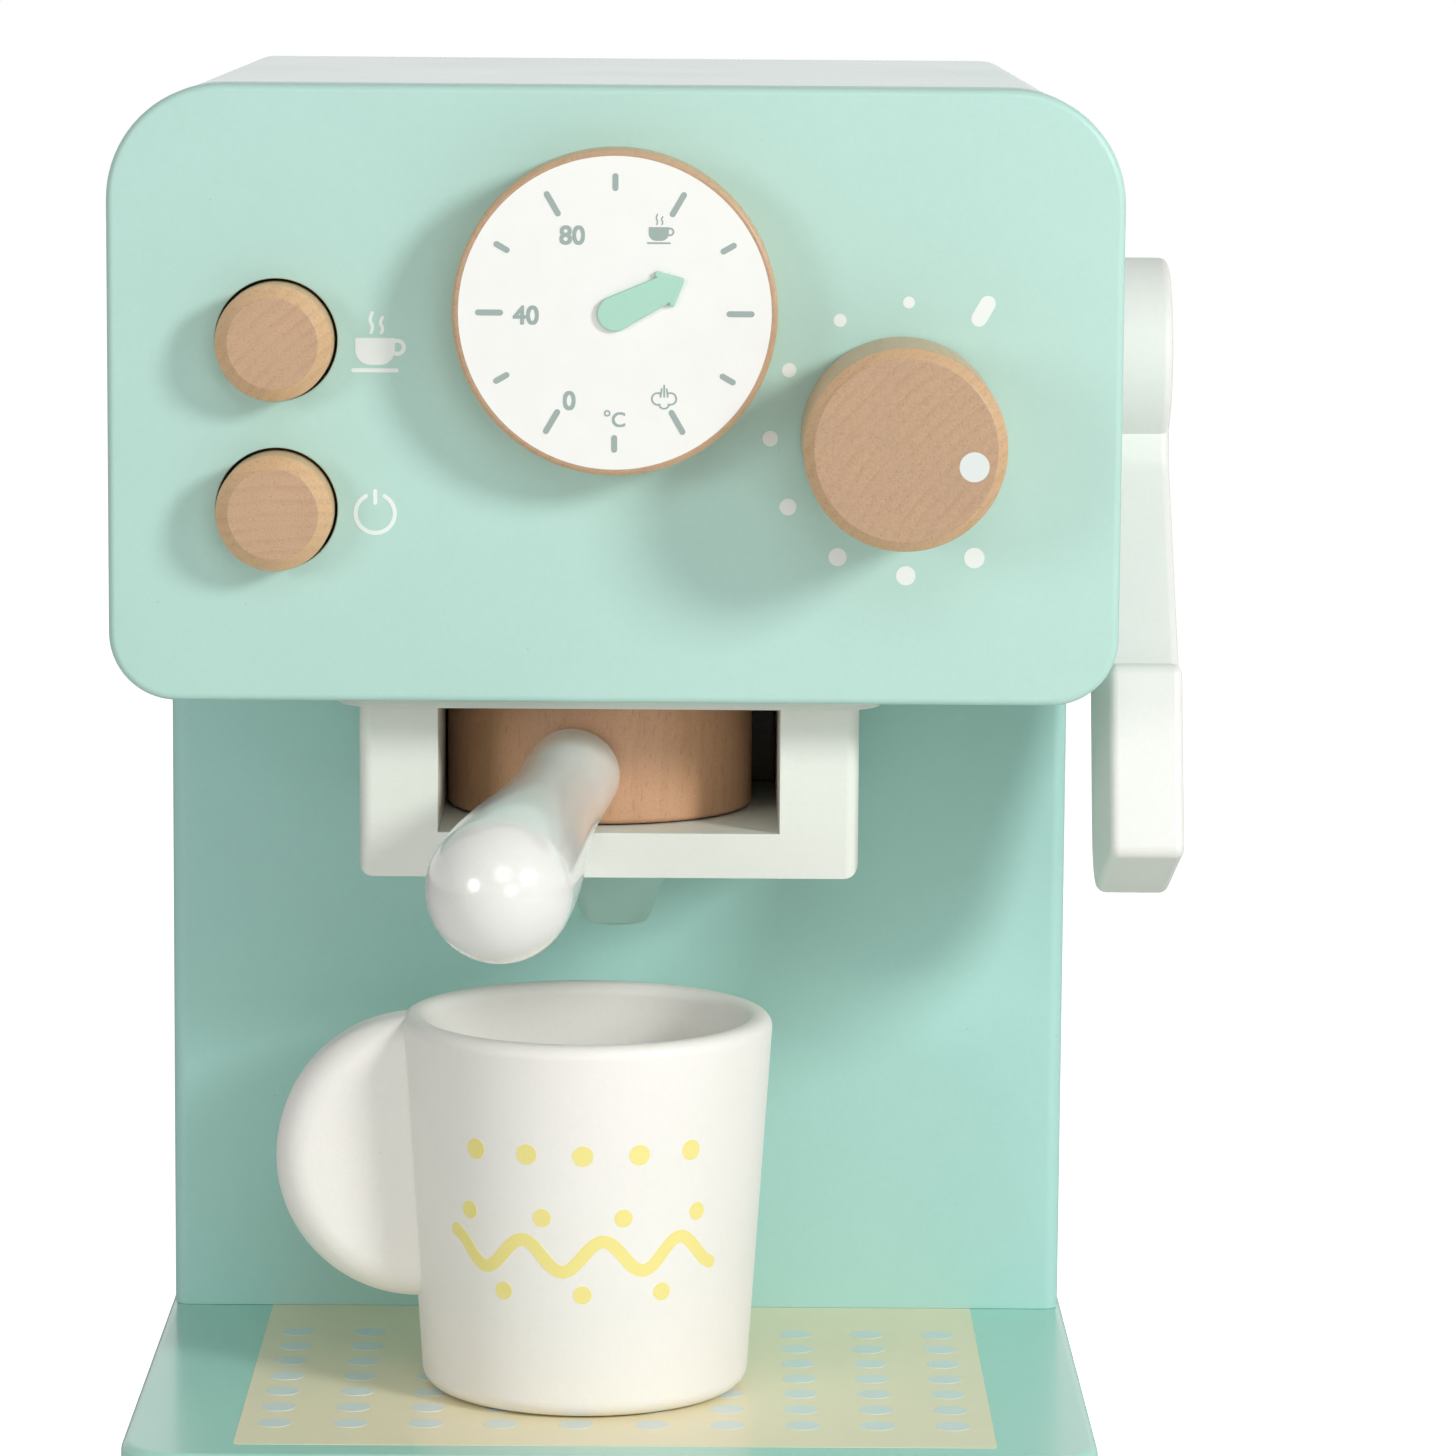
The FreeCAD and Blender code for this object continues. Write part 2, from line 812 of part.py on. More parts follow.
def lever_outline():
    """The lever's outline hanging straight down from its axle, as closed edges."""
    def at(across, down):
        return Vector(0, across, -down)

    head = lever_head_radius
    neck = lever_neck_half_width
    start = at(neck, math.sqrt(head ** 2 - neck ** 2))
    front_start = at(-neck, math.sqrt(head ** 2 - neck ** 2))
    path = [
        (start, 0),
        (at(neck, lever_neck_end), lever_neck_bend),
        (at(lever_back_width, lever_back_flare_end), lever_back_flare_round),
        (at(lever_back_width, lever_length), lever_back_corner),
        (at(-lever_front_width, lever_length), lever_front_corner),
        (at(-lever_front_width, lever_shoulder), lever_shoulder_round),
        (at(-lever_front_flare, lever_shoulder), 0),
        (at(-neck, lever_neck_end), lever_neck_bend),
        (front_start, 0),
    ]
    edges = rounded_outline(path)[:-1]
    edges.append(arc_through(front_start, at(0, -head), start))
    return Part.__sortEdges__(edges)


def swung(shape):
    """A lever piece turned forward about the axle and moved to its place."""
    shape.rotate(Vector(0, 0, 0), X, -lever_swing)
    shape.translate(Vector(0, y_lever, z_lever))
    return shape


def side_lever():
    lever = Part.Face(Part.Wire(lever_outline())).extrude(X * lever_thickness)
    lever.translate(X * x_lever)
    faces = (x_lever, x_lever + lever_thickness)
    rim = edges_where(lever, lambda middle, ends: near(middle.x, faces[0]) or near(middle.x, faces[1]))
    lever = lever.makeFillet(lever_edge_round, rim)
    hole = rod(lever_axle_diameter + 2 * dowel_fit, X * x_lever, X, lever_axle_in_lever + hole_end_gap)
    return swung(lever.cut(hole))


def lever_axle():
    start = Vector(x_lever_collar, y_lever, z_lever)
    return rod(lever_axle_diameter, start, X, x_lever + lever_axle_in_lever - start.x)


def lever_washer():
    """A thick washer on the side board, which holds the lever clear of the panel's edge."""
    start = Vector(x_side, y_lever, z_lever)
    bore = lever_axle_diameter + 2 * running_fit
    return ring(lever_washer_diameter, bore, start, X, lever_washer_thickness)


def lever_collar():
    """The collar glued on the axle inside the head."""
    start = Vector(x_lever_collar, y_lever, z_lever)
    bore = lever_axle_diameter + 2 * dowel_fit
    return ring(lever_collar_diameter, bore, start, X, lever_collar_thickness)


# Group frame

def group_plate():
    half = plate_width / 2
    plate = block(frame_x - half, frame_x + half, y_plate_front, y_plate_back, z_plate, z_head)
    corners = edges_where(plate, lambda middle, ends: along(Z, ends))
    plate = plate.makeFillet(plate_corner_radius, corners)
    for head in frame_screw_heads():
        plate = plate.cut(large_screw_hole(head, -Z))
    return plate


def group_frame():
    """A thick block under the plate with a slot right through it for the portafilter."""
    half = frame_slot_width / 2 + frame_leg
    frame = block(frame_x - half, frame_x + half, y_frame_front, y_frame_back, z_frame, z_plate)
    corners = edges_where(frame, lambda middle, ends: along(Z, ends)
                          or along(Y, ends) and near(middle.z, z_frame))
    frame = frame.makeFillet(frame_corner_radius, corners)
    slot = block(frame_x - frame_slot_width / 2, frame_x + frame_slot_width / 2,
                 y_frame_front, y_frame_back, z_slot_floor, z_plate)
    frame = frame.cut(slot)
    frame = frame.cut(rod(nozzle_tenon_diameter + 2 * dowel_fit, Vector(0, y_nozzle, z_frame), Z,
                          nozzle_tenon_length + hole_end_gap))
    for head in frame_screw_heads():
        frame = frame.cut(large_screw_hole(head, -Z))
    return frame


def frame_back_stop():
    """The block that closes the slot behind the portafilter."""
    half = frame_slot_width / 2
    return block(frame_x - half, frame_x + half, y_frame_stop, y_frame_back, z_slot_floor, z_plate)


def nozzle():
    top = Vector(0, y_nozzle, z_frame)
    cone = Part.makeCone(nozzle_top_diameter / 2, nozzle_tip_diameter / 2, nozzle_length, top, -Z)
    tip = edges_where(cone, lambda middle, ends: near(middle.z, z_frame - nozzle_length))
    cone = cone.makeFillet(nozzle_tip_round, tip)
    return union([cone, rod(nozzle_tenon_diameter, top, Z, nozzle_tenon_length)])


# Portafilter

def handle_direction():
    """Forward, turned to the left and drooping a little."""
    turned = Rotation(Z, -handle_turn).multVec(-Y)
    return Rotation(turned.cross(Z), -handle_droop).multVec(turned)


def handle_root():
    """The point on the portafilter's axis that the handle's axis meets."""
    return Vector(disc_x, disc_y, z_disc + disc_thickness / 2 + handle_rise)


def placed_along_handle(shape):
    """A shape drawn along +X from the disc's axis, moved onto the handle's axis."""
    shape.Placement = FreeCAD.Placement(handle_root(), Rotation(X, handle_direction()))
    return shape


def portafilter_disc():
    disc = rod(disc_diameter, Vector(disc_x, disc_y, z_disc), Z, disc_thickness)
    disc = disc.makeFillet(disc_edge_round, edges_where(
        disc, lambda middle, ends: near(middle.z, z_disc) or near(middle.z, z_disc + disc_thickness)))
    start = disc_diameter / 2 - handle_dowel_in_disc - hole_end_gap
    hole = rod(handle_dowel_diameter + 2 * dowel_fit, X * start, X, disc_diameter)
    return disc.cut(placed_along_handle(hole))


def portafilter_handle():
    """A bat-shaped handle: a thin neck that swells into a round end."""
    neck = handle_neck_radius
    ball = handle_ball_radius
    sink = disc_diameter / 2 - math.sqrt((disc_diameter / 2) ** 2 - neck ** 2)
    start = disc_diameter / 2 - sink
    neck_end = disc_diameter / 2 + handle_neck_length
    end = disc_diameter / 2 + handle_length
    centre = end - ball
    swell = Part.BezierCurve()
    halfway = (neck_end + centre) / 2
    swell.setPoles([Vector(neck_end, neck, 0), Vector(halfway, neck, 0),
                    Vector(halfway, ball, 0), Vector(centre, ball, 0)])
    diagonal = math.sqrt(0.5)
    profile = [
        line(Vector(start, 0, 0), Vector(start, neck - handle_end_round, 0)),
        arc_through(Vector(start, neck - handle_end_round, 0),
                    Vector(start + handle_end_round * (1 - diagonal),
                           neck - handle_end_round * (1 - diagonal), 0),
                    Vector(start + handle_end_round, neck, 0)),
        line(Vector(start + handle_end_round, neck, 0), Vector(neck_end, neck, 0)),
        swell.toShape(),
        arc_through(Vector(centre, ball, 0),
                    Vector(centre + ball * diagonal, ball * diagonal, 0), Vector(end, 0, 0)),
        line(Vector(end, 0, 0), Vector(start, 0, 0)),
    ]
    handle = revolved(profile, Vector(0, 0, 0), X)
    hole = rod(handle_dowel_diameter + 2 * dowel_fit, Vector(0, 0, 0), X,
               disc_diameter / 2 + handle_dowel_in_handle + hole_end_gap)
    handle = placed_along_handle(handle.cut(hole))
    return handle.cut(rod(disc_diameter, Vector(disc_x, disc_y, z_frame), Z, z_head - z_frame))


def handle_dowel():
    start = disc_diameter / 2 - handle_dowel_in_disc
    return placed_along_handle(rod(handle_dowel_diameter, X * start, X,
                                   handle_dowel_in_disc + handle_dowel_in_handle))


# Cup

def cup_point(radius, height):
    return Vector(cup_x + radius, cup_y, z_cup + height)


def cup_lip(angle):
    """A point on the half-round lip, from its outer side at 0 to its inner side at 180 degrees."""
    lip = cup_lip_thickness / 2
    turn = math.radians(angle)
    return cup_point(cup_rim_radius - lip + lip * math.cos(turn),
                     cup_height - lip + lip * math.sin(turn))


def cup_outside():
    """The cup's outer half profile, from the middle of its foot up to the lip."""
    foot = round_corner(cup_point(cup_foot_radius, 0), cup_point(0, 0), cup_lip(0), cup_foot_round)
    return [line(cup_point(0, 0), foot[0]), arc_through(*foot), line(foot[2], cup_lip(0))]


def cup_inside():
    """The bowl's half profile, from the lip down to the middle of its floor."""
    corner = cup_point(cup_inner_foot_radius, cup_floor)
    middle = cup_point(0, cup_floor)
    bend = round_corner(corner, cup_lip(180), middle, cup_inner_round)
    return [line(cup_lip(180), bend[0]), arc_through(*bend), line(bend[2], middle)]


def cup_body():
    lip = [arc_through(cup_lip(0), cup_lip(90), cup_lip(180))]
    closing = [line(cup_point(0, cup_floor), cup_point(0, 0))]
    body = revolved(cup_outside() + lip + cup_inside() + closing, cup_point(0, 0), Z)
    return body.cut(ear_dowel_shape(dowel_fit))


def ear_dowel_shape(fit):
    """The dowel between the ear and the cup's wall, or with a fit its hole."""
    wall_outer = cup_foot_radius + (cup_rim_radius - cup_foot_radius) * ear_height / cup_height
    start = cup_point(-wall_outer + ear_dowel_in_wall + (hole_end_gap / 2 if fit else 0), ear_height)
    length = ear_dowel_in_wall + ear_dowel_in_ear + (hole_end_gap if fit else 0)
    return rod(ear_dowel_diameter + 2 * fit, start, -X, length)


def cup_ear():
    """A solid half-round ear with rounded edges, cut to the cup's wall."""
    centre = cup_point(-ear_offset, ear_height) - Y * (ear_thickness / 2)
    ear = rod(2 * ear_radius, centre, Y, ear_thickness)
    ear = ear.makeFillet(ear_round, ear.Edges)
    lip_top = cup_lip(90)
    above = Vector(lip_top.x, lip_top.y, lip_top.z + cup_height)
    axis_above = cup_point(0, 2 * cup_height)
    upward = [arc_through(cup_lip(0), cup_lip(45), lip_top), line(lip_top, above),
              line(above, axis_above), line(axis_above, cup_point(0, 0))]
    ear = ear.cut(revolved(cup_outside() + upward, cup_point(0, 0), Z))
    return ear.cut(ear_dowel_shape(dowel_fit))


def ear_dowel():
    return ear_dowel_shape(0)


def nodes():
    """Every piece by its name."""
    made = {
        "base_board": base_board(),
        "base_screws": base_screws(),
        "left_side_board": side_board(-1),
        "right_side_board": side_board(1),
        "column_front_board": column_front_board(),
        "column_dowels": column_dowels(),
        "back_board": back_board(),
        "back_screws": back_screws(),
        "top_board": top_board(),
        "top_dowels": top_dowels(),
        "head_floor_board": head_floor_board(),
        "front_panel": front_panel(),
        "panel_dowels": panel_dowels(),
        "button_guide_board": button_guide_board(),
        "guide_spacers": guide_spacers(),
        "guide_screws": guide_screws(),
        "dial_disc": dial_disc(),
        "dial_pointer": dial_pointer(),
        "pointer_axle": pointer_axle(),
        "pointer_collar": pointer_collar(),
        "control_knob": control_knob(),
        "knob_axle": knob_axle(),
        "click_wheel": click_wheel(),
        "click_spring": click_spring(),
        "click_spring_block": click_spring_block(),
        "click_spring_screw": click_spring_screw(),
        "side_lever": side_lever(),
        "lever_axle": lever_axle(),
        "lever_washer": lever_washer(),
        "lever_collar": lever_collar(),
        "group_plate": group_plate(),
        "group_frame": group_frame(),
        "frame_back_stop": frame_back_stop(),
        "frame_screws": frame_screws(),
        "nozzle": nozzle(),
        "portafilter_disc": portafilter_disc(),
        "portafilter_handle": portafilter_handle(),
        "handle_dowel": handle_dowel(),
        "cup_body": cup_body(),
        "cup_ear": cup_ear(),
        "ear_dowel": ear_dowel(),
    }
    for name, height in button_heights().items():
        made[name + "_button"] = push_button(height)
        made[name + "_button_collar"] = button_collar(height)
        made[name + "_button_spring"] = button_spring(height)
    return made


os.makedirs("parts", exist_ok=True)
for name, shape in nodes().items():
    shape.exportStep("parts/" + name + ".step")
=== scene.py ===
import json
import math

import bmesh
import bpy
from bpy.props import FloatProperty, FloatVectorProperty, IntProperty, PointerProperty
from mathutils import Matrix, Vector

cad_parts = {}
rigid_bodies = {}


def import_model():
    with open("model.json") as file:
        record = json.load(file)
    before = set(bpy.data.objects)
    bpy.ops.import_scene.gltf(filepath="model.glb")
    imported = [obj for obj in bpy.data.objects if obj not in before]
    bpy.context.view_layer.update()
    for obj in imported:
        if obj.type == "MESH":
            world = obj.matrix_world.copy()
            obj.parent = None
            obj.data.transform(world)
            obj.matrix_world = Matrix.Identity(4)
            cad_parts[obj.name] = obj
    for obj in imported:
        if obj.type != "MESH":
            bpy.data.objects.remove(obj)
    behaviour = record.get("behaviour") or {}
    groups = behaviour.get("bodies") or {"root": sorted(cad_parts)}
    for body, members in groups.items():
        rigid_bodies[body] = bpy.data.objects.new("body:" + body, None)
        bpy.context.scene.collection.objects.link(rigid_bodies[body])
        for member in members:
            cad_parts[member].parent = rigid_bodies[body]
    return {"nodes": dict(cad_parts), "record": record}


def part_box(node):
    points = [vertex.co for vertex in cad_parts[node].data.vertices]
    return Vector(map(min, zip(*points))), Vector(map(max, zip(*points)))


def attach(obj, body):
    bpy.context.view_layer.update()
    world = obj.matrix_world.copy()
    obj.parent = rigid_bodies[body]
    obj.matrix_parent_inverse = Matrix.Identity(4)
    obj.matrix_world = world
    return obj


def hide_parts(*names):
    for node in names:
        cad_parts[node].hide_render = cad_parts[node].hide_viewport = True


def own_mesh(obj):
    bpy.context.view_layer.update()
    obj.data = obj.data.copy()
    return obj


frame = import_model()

bl_info = {
    "name": "Toy coffee maker",
    "version": (1, 0, 0),
    "blender": (4, 5, 0),
    "location": "3D View > Sidebar > Toy",
    "description": "Paints, prints and wood of a wooden toy coffee maker around its fixed frame",
    "category": "Object",
}

MM = 0.001
UP = Vector((0, 0, 1))
BACK = Vector((0, 1, 0))
QUARTER = math.pi / 2
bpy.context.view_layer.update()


# Values that a user would change

def length(name, description, millimetres):
    """A length, given in millimetres and kept in metres."""
    return FloatProperty(name=name, description=description, default=millimetres * MM,
                         unit="LENGTH", subtype="DISTANCE", precision=5)


def angle(name, description, degrees):
    """An angle, given in degrees and kept in radians."""
    return FloatProperty(name=name, description=description, default=math.radians(degrees),
                         unit="ROTATION", subtype="ANGLE")


def linear(channel):
    """One screen colour channel from 0 to 255 as the linear value that shaders use."""
    share = channel / 255
    return share / 12.92 if share <= 0.04045 else ((share + 0.055) / 1.055) ** 2.4


def colour(name, description, *channels):
    """A colour, given as it looks on screen."""
    return FloatVectorProperty(name=name, description=description, subtype="COLOR", size=3, min=0,
                               max=1, default=[linear(channel) for channel in channels])


def watts(name, description, power):
    return FloatProperty(name=name, description=description, default=power, min=0, unit="POWER")


def fraction(name, description, part):
    return FloatProperty(name=name, description=description, default=part, min=0, max=1,
                         subtype="FACTOR")


def heading(name, description, *direction):
    """A direction, given as X, Y and Z."""
    return FloatVectorProperty(name=name, description=description, default=direction, size=3,
                               subtype="XYZ")


class ToyPaints(bpy.types.PropertyGroup):
    mint: colour("Mint", "Paint of the head", 178, 213, 203)
    # Lighter and greener than the head's mint: painted light that brightens the column, which stands in
    # the head's shade.
    column_mint_painted_light: colour("Column mint", "Paint of the column", 177, 221, 213)
    # Less red and greener than the head's mint: painted shade, the deeper colour that the base takes on
    # where it lies in shade.
    base_mint_painted_shade: colour("Base mint", "Paint of the base", 167, 221, 205)
    white: colour("White", "Paint of the lever", 231, 232, 226)
    # Darker than the lever's white: painted shade from the head that overhangs the group frame and
    # plate.
    group_white_painted_shade: colour("Group white", "Paint of the group frame", 222, 225, 216)
    gloss_white: colour("Gloss white", "Paint of the portafilter's handle", 228, 228, 223)
    cup_white: colour("Cup white", "Paint of the cup", 240, 237, 231)
    pale_mint: colour("Pale mint", "Paint of the nozzle", 172, 216, 202)
    dial_white: colour("Dial white", "Ink of the dial's face", 234, 234, 230)
    print_white: colour("Print white", "Ink on the panel and the knob", 228, 235, 231)
    print_grey: colour("Print grey", "Ink of the dial's scale", 150, 166, 162)
    pointer: colour("Pointer", "Paint of the pointer", 163, 207, 187)
    cream: colour("Cream", "Ink of the drip tray", 243, 233, 197)
    dot_blue: colour("Dot blue", "Ink of the drip tray's dots", 220, 232, 228)
    cup_yellow: colour("Cup yellow", "Ink of the cup's pattern", 242, 228, 142)


class ToyWoods(bpy.types.PropertyGroup):
    side: colour("Side grain", "Wood along the grain", 216, 178, 134)
    end: colour("End grain", "Wood across the grain", 192, 157, 124)
    ring: colour("Rings", "Late wood in the growth rings", 168, 128, 94)
    ring_pitch: length("Ring pitch", "Distance between growth rings", 2.3)
    fibre_length: length("Fibre length", "Length of the fine fibres", 9)
    fibre_width: length("Fibre width", "Width of the fine fibres", 0.22)


class ToyEdges(bpy.types.PropertyGroup):
    base_corner: length("Base corner", "Corner radius of the base", 12)
    base_rim: length("Base rim", "Edge radius on the base's top", 1.8)
    column_edge: length("Column edge", "Edge radius of the column's front board", 2.8)
    shoulder: length("Shoulder", "Radius of the head's shoulders", 6.5)
    eased: length("Eased edge", "Edge radius of the plain boards", 1)
    seam: length("Seam", "Softened edge where two boards meet", 0.25)
    panel_top_corner: length("Panel top corner", "Upper corners of the front panel", 20.5)
    panel_lower_corner: length("Panel lower corner", "Lower corners of the front panel", 12)
    panel_rim: length("Panel rim", "Edge radius of the front panel", 1.4)
    plate_corner: length("Plate corner", "Corner radius of the plate under the head", 9)
    frame_corner: length("Frame corner", "Corner radius of the group frame", 2.5)


class ToyPrints(bpy.types.PropertyGroup):
    ink: length("Ink", "How far the ink stands proud", 0.06)
    dot_ring: length("Dot ring", "Radius of the ring of dots round the knob", 24.3)
    dot_ring_across: length("Dot ring across", "The ring's middle to the right of the knob", 1.2)
    dot_ring_down: length("Dot ring down", "The ring's middle below the knob", 0.6)
    dot_small: length("Small dot", "Radius of the smallest dot", 1.05)
    dot_large: length("Large dot", "Radius of the largest dot", 1.84)
    pill_inner: length("Pill inner end", "Inner end of the long mark", 24.85)
    pill_outer: length("Pill outer end", "Outer end of the long mark", 27.9)
    pill_width: length("Pill width", "Width of the long mark", 2.84)
    icon_across: length("Icon across", "The icons' middle to the right of the buttons", 17.5)
    icon_cup: length("Cup icon", "Width of the bowl in the cup icon", 7)
    icon_power: length("Power icon", "Radius of the power icon", 3.5)
    icon_stroke: length("Icon stroke", "Stroke of the icons", 0.72)
    tick_end: length("Tick end", "Radius to the outer end of the ticks", 24.4)
    tick_long: length("Long tick", "Length of the long ticks", 4.9)
    tick_short: length("Short tick", "Length of the short ticks", 3.1)
    tick_width: length("Tick width", "Width of the ticks", 1.04)
    figure: length("Figure", "Height of the dial's figures", 3.3)
    face_margin: length("Face margin", "Bare wood round the dial's face", 1.1)


class ToyTray(bpy.types.PropertyGroup):
    left: length("Left", "Left edge of the printed tray", -68)
    right: length("Right", "Right edge of the printed tray", 70)
    front_margin: length("Front margin", "Bare paint in front of the tray", 8)
    dot: length("Dot", "Diameter of a dot", 6.3)
    across: length("Across", "Distance between dots from left to right", 13.8)
    along: length("Along", "Distance between dots from front to back", 11.5)
    first_left: length("First column", "Left column's distance from the tray's edge", 6.5)
    first_back: length("First row", "Back row's distance from the column", 22.1)
    columns: IntProperty(name="Columns", description="Dots from left to right", default=10)
    rows: IntProperty(name="Rows", description="Dots from front to back", default=7)


class ToyTurnery(bpy.types.PropertyGroup):
    press: length("Press", "How far a button goes in", 5)
    button_chamfer: length("Button chamfer", "Chamfer of the push buttons", 2.3)
    knob_chamfer: length("Knob chamfer", "Chamfer of the knob", 1.8)
    sanded: length("Sanded edge", "Radius that sanding leaves on turned edges", 0.35)
    dial_rim: length("Dial rim", "Radius of the dial's edge", 0.8)
    mark_across: length("Mark across", "The knob's dot to the right of its middle", 11.8)
    mark_down: length("Mark down", "The knob's dot below its middle", 2.7)
    mark: length("Mark", "Radius of the knob's dot", 2.6)
    neck: length("Neck", "Radius of the handle's neck", 8.6)
    neck_length: length("Neck length", "Length of the handle's neck", 18)
    ball: length("Ball", "Radius of the handle's end", 12.8)
    handle: length("Handle", "Length of the handle from the disc", 87)
    handle_turn: angle("Handle turn", "How far the handle turns to the left", 8.8)
    handle_droop: angle("Handle droop", "How far the handle droops", 7.1)
    handle_rise: length("Handle rise", "The handle's root above the disc's middle", 1.9)
    nozzle_tip: length("Nozzle tip", "Diameter of the nozzle's tip", 11.7)


class ToyCup(bpy.types.PropertyGroup):
    foot: length("Foot", "Radius at the foot", 30.3)
    lip: length("Lip", "Thickness of the rim", 5.2)
    floor: length("Floor", "Thickness of the floor", 10)
    inner_foot: length("Inner foot", "Radius inside at the floor", 25.2)
    foot_round: length("Foot round", "Edge radius of the foot", 3.5)
    inner_round: length("Inner round", "Radius inside at the floor's edge", 8)
    ear: length("Ear", "Radius of the ear", 26.6)
    ear_across: length("Ear across", "The ear's middle to the left of the cup's", 31.2)
    ear_height: length("Ear height", "Height of the ear's middle", 43.4)
    ear_round: length("Ear round", "Edge radius of the ear", 6.5)
    wave_height: length("Wave height", "Height of the printed wave above the foot", 31)
    wave_swing: length("Wave swing", "Swing of the wave to each side", 3)
    wave_pitch: length("Wave pitch", "Length of one wave", 15)
    pattern: length("Pattern width", "Width of the printed pattern round the cup", 52)
    stroke: length("Stroke", "Width of the printed stroke", 2.4)


class ToyLever(bpy.types.PropertyGroup):
    head: length("Head", "Radius of the lever's head", 18.2)
    neck: length("Neck", "Half width of the neck", 5.5)
    neck_end: length("Neck end", "Distance from the axle to the neck's end", 23)
    neck_bend: length("Neck bend", "Radius of the bend below the neck", 8)
    flare: length("Flare", "Width in front of the axle where the arm meets the grip", 22.3)
    shoulder: length("Shoulder", "Distance from the axle to the grip", 66.5)
    shoulder_round: length("Shoulder round", "Corner radius at the grip's top", 2.5)
    grip_front: length("Grip front", "Width of the grip in front of the axle", 29)
    grip_back: length("Grip back", "Width of the grip behind the axle", 20.5)
    back_flare_end: length("Back flare end", "Distance from the axle to the back's full width", 56)
    back_flare_round: length("Back flare round", "Radius of the bend at the back's full width", 15)
    reach: length("Reach", "Distance from the axle to the grip's end", 103)
    front_corner: length("Front corner", "Front corner radius at the grip's end", 2.5)
    back_corner: length("Back corner", "Back corner radius at the grip's end", 14)
    edge: length("Edge", "Edge radius of the lever", 1.8)
    swing: angle("Swing", "How far the lever is swung forward", 20)


class ToyStage(bpy.types.PropertyGroup):
    lens: FloatProperty(name="Lens", description="Focal length in millimetres", default=146.55,
                        unit="CAMERA")
    eye: FloatVectorProperty(name="Eye", description="Place of the camera", subtype="XYZ", size=3,
                             unit="LENGTH", default=(0.012, -1.1432, 0.2911))
    pitch: angle("Pitch", "How far the camera looks down", 8.09)
    yaw: angle("Yaw", "How far the camera turns to the right", 0.46)
    roll: angle("Roll", "How far the camera leans", 0.44)
    key: watts("Key", "Power of the main lamp", 9.6)
    key_size: length("Key size", "Width of the main lamp", 280)
    key_from: heading("Key from", "Direction to the main lamp", 1.1, -1, 0.6)
    side: watts("Side", "Power of the side lamp", 2.9)
    side_size: length("Side size", "Width of the side lamp", 420)
    side_from: heading("Side from", "Direction to the side lamp", -0.8, -1, 0.25)
    top: watts("Top", "Power of the upper lamp", 2)
    top_size: length("Top size", "Width of the upper lamp", 600)
    top_from: heading("Top from", "Direction to the upper lamp", 0.1, -1, 0.6)
    front: watts("Front", "Power of the low front lamp", 1.1)
    front_size: length("Front size", "Width of the low front lamp", 450)
    front_from: heading("Front from", "Direction to the low front lamp", 0.3, -1, 0.1)
    fill: fraction("Fill", "Light that comes from all round", 0.23)
    glow: fraction("Glow", "How bright the floor shines to the camera", 0.85)
    floor: colour("Floor", "Colour of the floor", 249, 249, 247)


# Shapes

def middle(node):
    low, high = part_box(node)
    return (low + high) / 2


def alone(piece):
    """Makes a piece the only one selected, and the active one."""
    bpy.ops.object.select_all(action="DESELECT")
    piece.select_set(True)
    bpy.context.view_layer.objects.active = piece


def settled(piece):
    """Moves a piece's place, turn and scale into its mesh."""
    alone(piece)
    bpy.ops.object.transform_apply(location=True, rotation=True, scale=True)
    return piece


def edit(piece, kind="VERT", test=None):
    """Opens a piece with everything selected, or only what passes a test."""
    alone(piece)
    bpy.ops.object.mode_set(mode="EDIT")
    bpy.ops.mesh.select_mode(type=kind)
    bpy.ops.mesh.select_all(action="SELECT" if test is None else "DESELECT")
    if test:
        shape = bmesh.from_edit_mesh(piece.data)
        parts = shape.edges if kind == "EDGE" else shape.faces
        for part in parts:
            part.select_set(test(part))
        bmesh.update_edit_mesh(piece.data)


def close():
    bpy.ops.object.mode_set(mode="OBJECT")


def ends(edge):
    return [vertex.co for vertex in edge.verts]


def runs_along(axis):
    """A test for straight edges in one direction."""
    def test(edge):
        a, b = ends(edge)
        return abs((a - b).normalized()[axis]) > 0.999
    return test


def lies_at(axis, *levels):
    """A test for edges that lie in a plane across an axis, at any of some levels."""
    def test(edge):
        gaps = [[abs(point[axis] - level) for point in ends(edge)] for level in levels]
        return any(max(gap) < MM / 100 for gap in gaps)
    return test


def both(first, second):
    return lambda edge: first(edge) and second(edge)


def every(edge):
    return True


def rounded(piece, test, radius, segments=4):
    """Rounds the edges that pass a test."""
    edit(piece, "EDGE", test)
    bpy.ops.mesh.bevel(offset=radius, segments=segments, affect="EDGES", clamp_overlap=False)
    close()
    return piece


def block(name, low, high):
    bpy.ops.mesh.primitive_cube_add(size=1, location=(low + high) / 2, scale=high - low)
    piece = bpy.context.object
    piece.name = name
    return settled(piece)


def pillar(name, radius, start, direction, reach, sides=96):
    """A round bar that starts at a point and runs along a direction."""
    bpy.ops.mesh.primitive_cylinder_add(vertices=sides, radius=radius, depth=reach)
    piece = bpy.context.object
    piece.name = name
    return aimed(piece, start + direction * reach / 2, direction)


def aimed(piece, place, direction):
    """Turns a piece's own Z to a direction and puts it in place."""
    piece.rotation_mode = "QUATERNION"
    piece.rotation_quaternion = UP.rotation_difference(direction)
    piece.location = place
    return settled(piece)


def cut(piece, cutter):
    """Takes one shape out of another."""
    alone(piece)
    cutting = piece.modifiers.new("cut", "BOOLEAN")
    cutting.operation = "DIFFERENCE"
    cutting.solver = "EXACT"
    cutting.object = cutter
    bpy.ops.object.modifier_apply(modifier=cutting.name)
    bpy.data.objects.remove(cutter)
    return piece


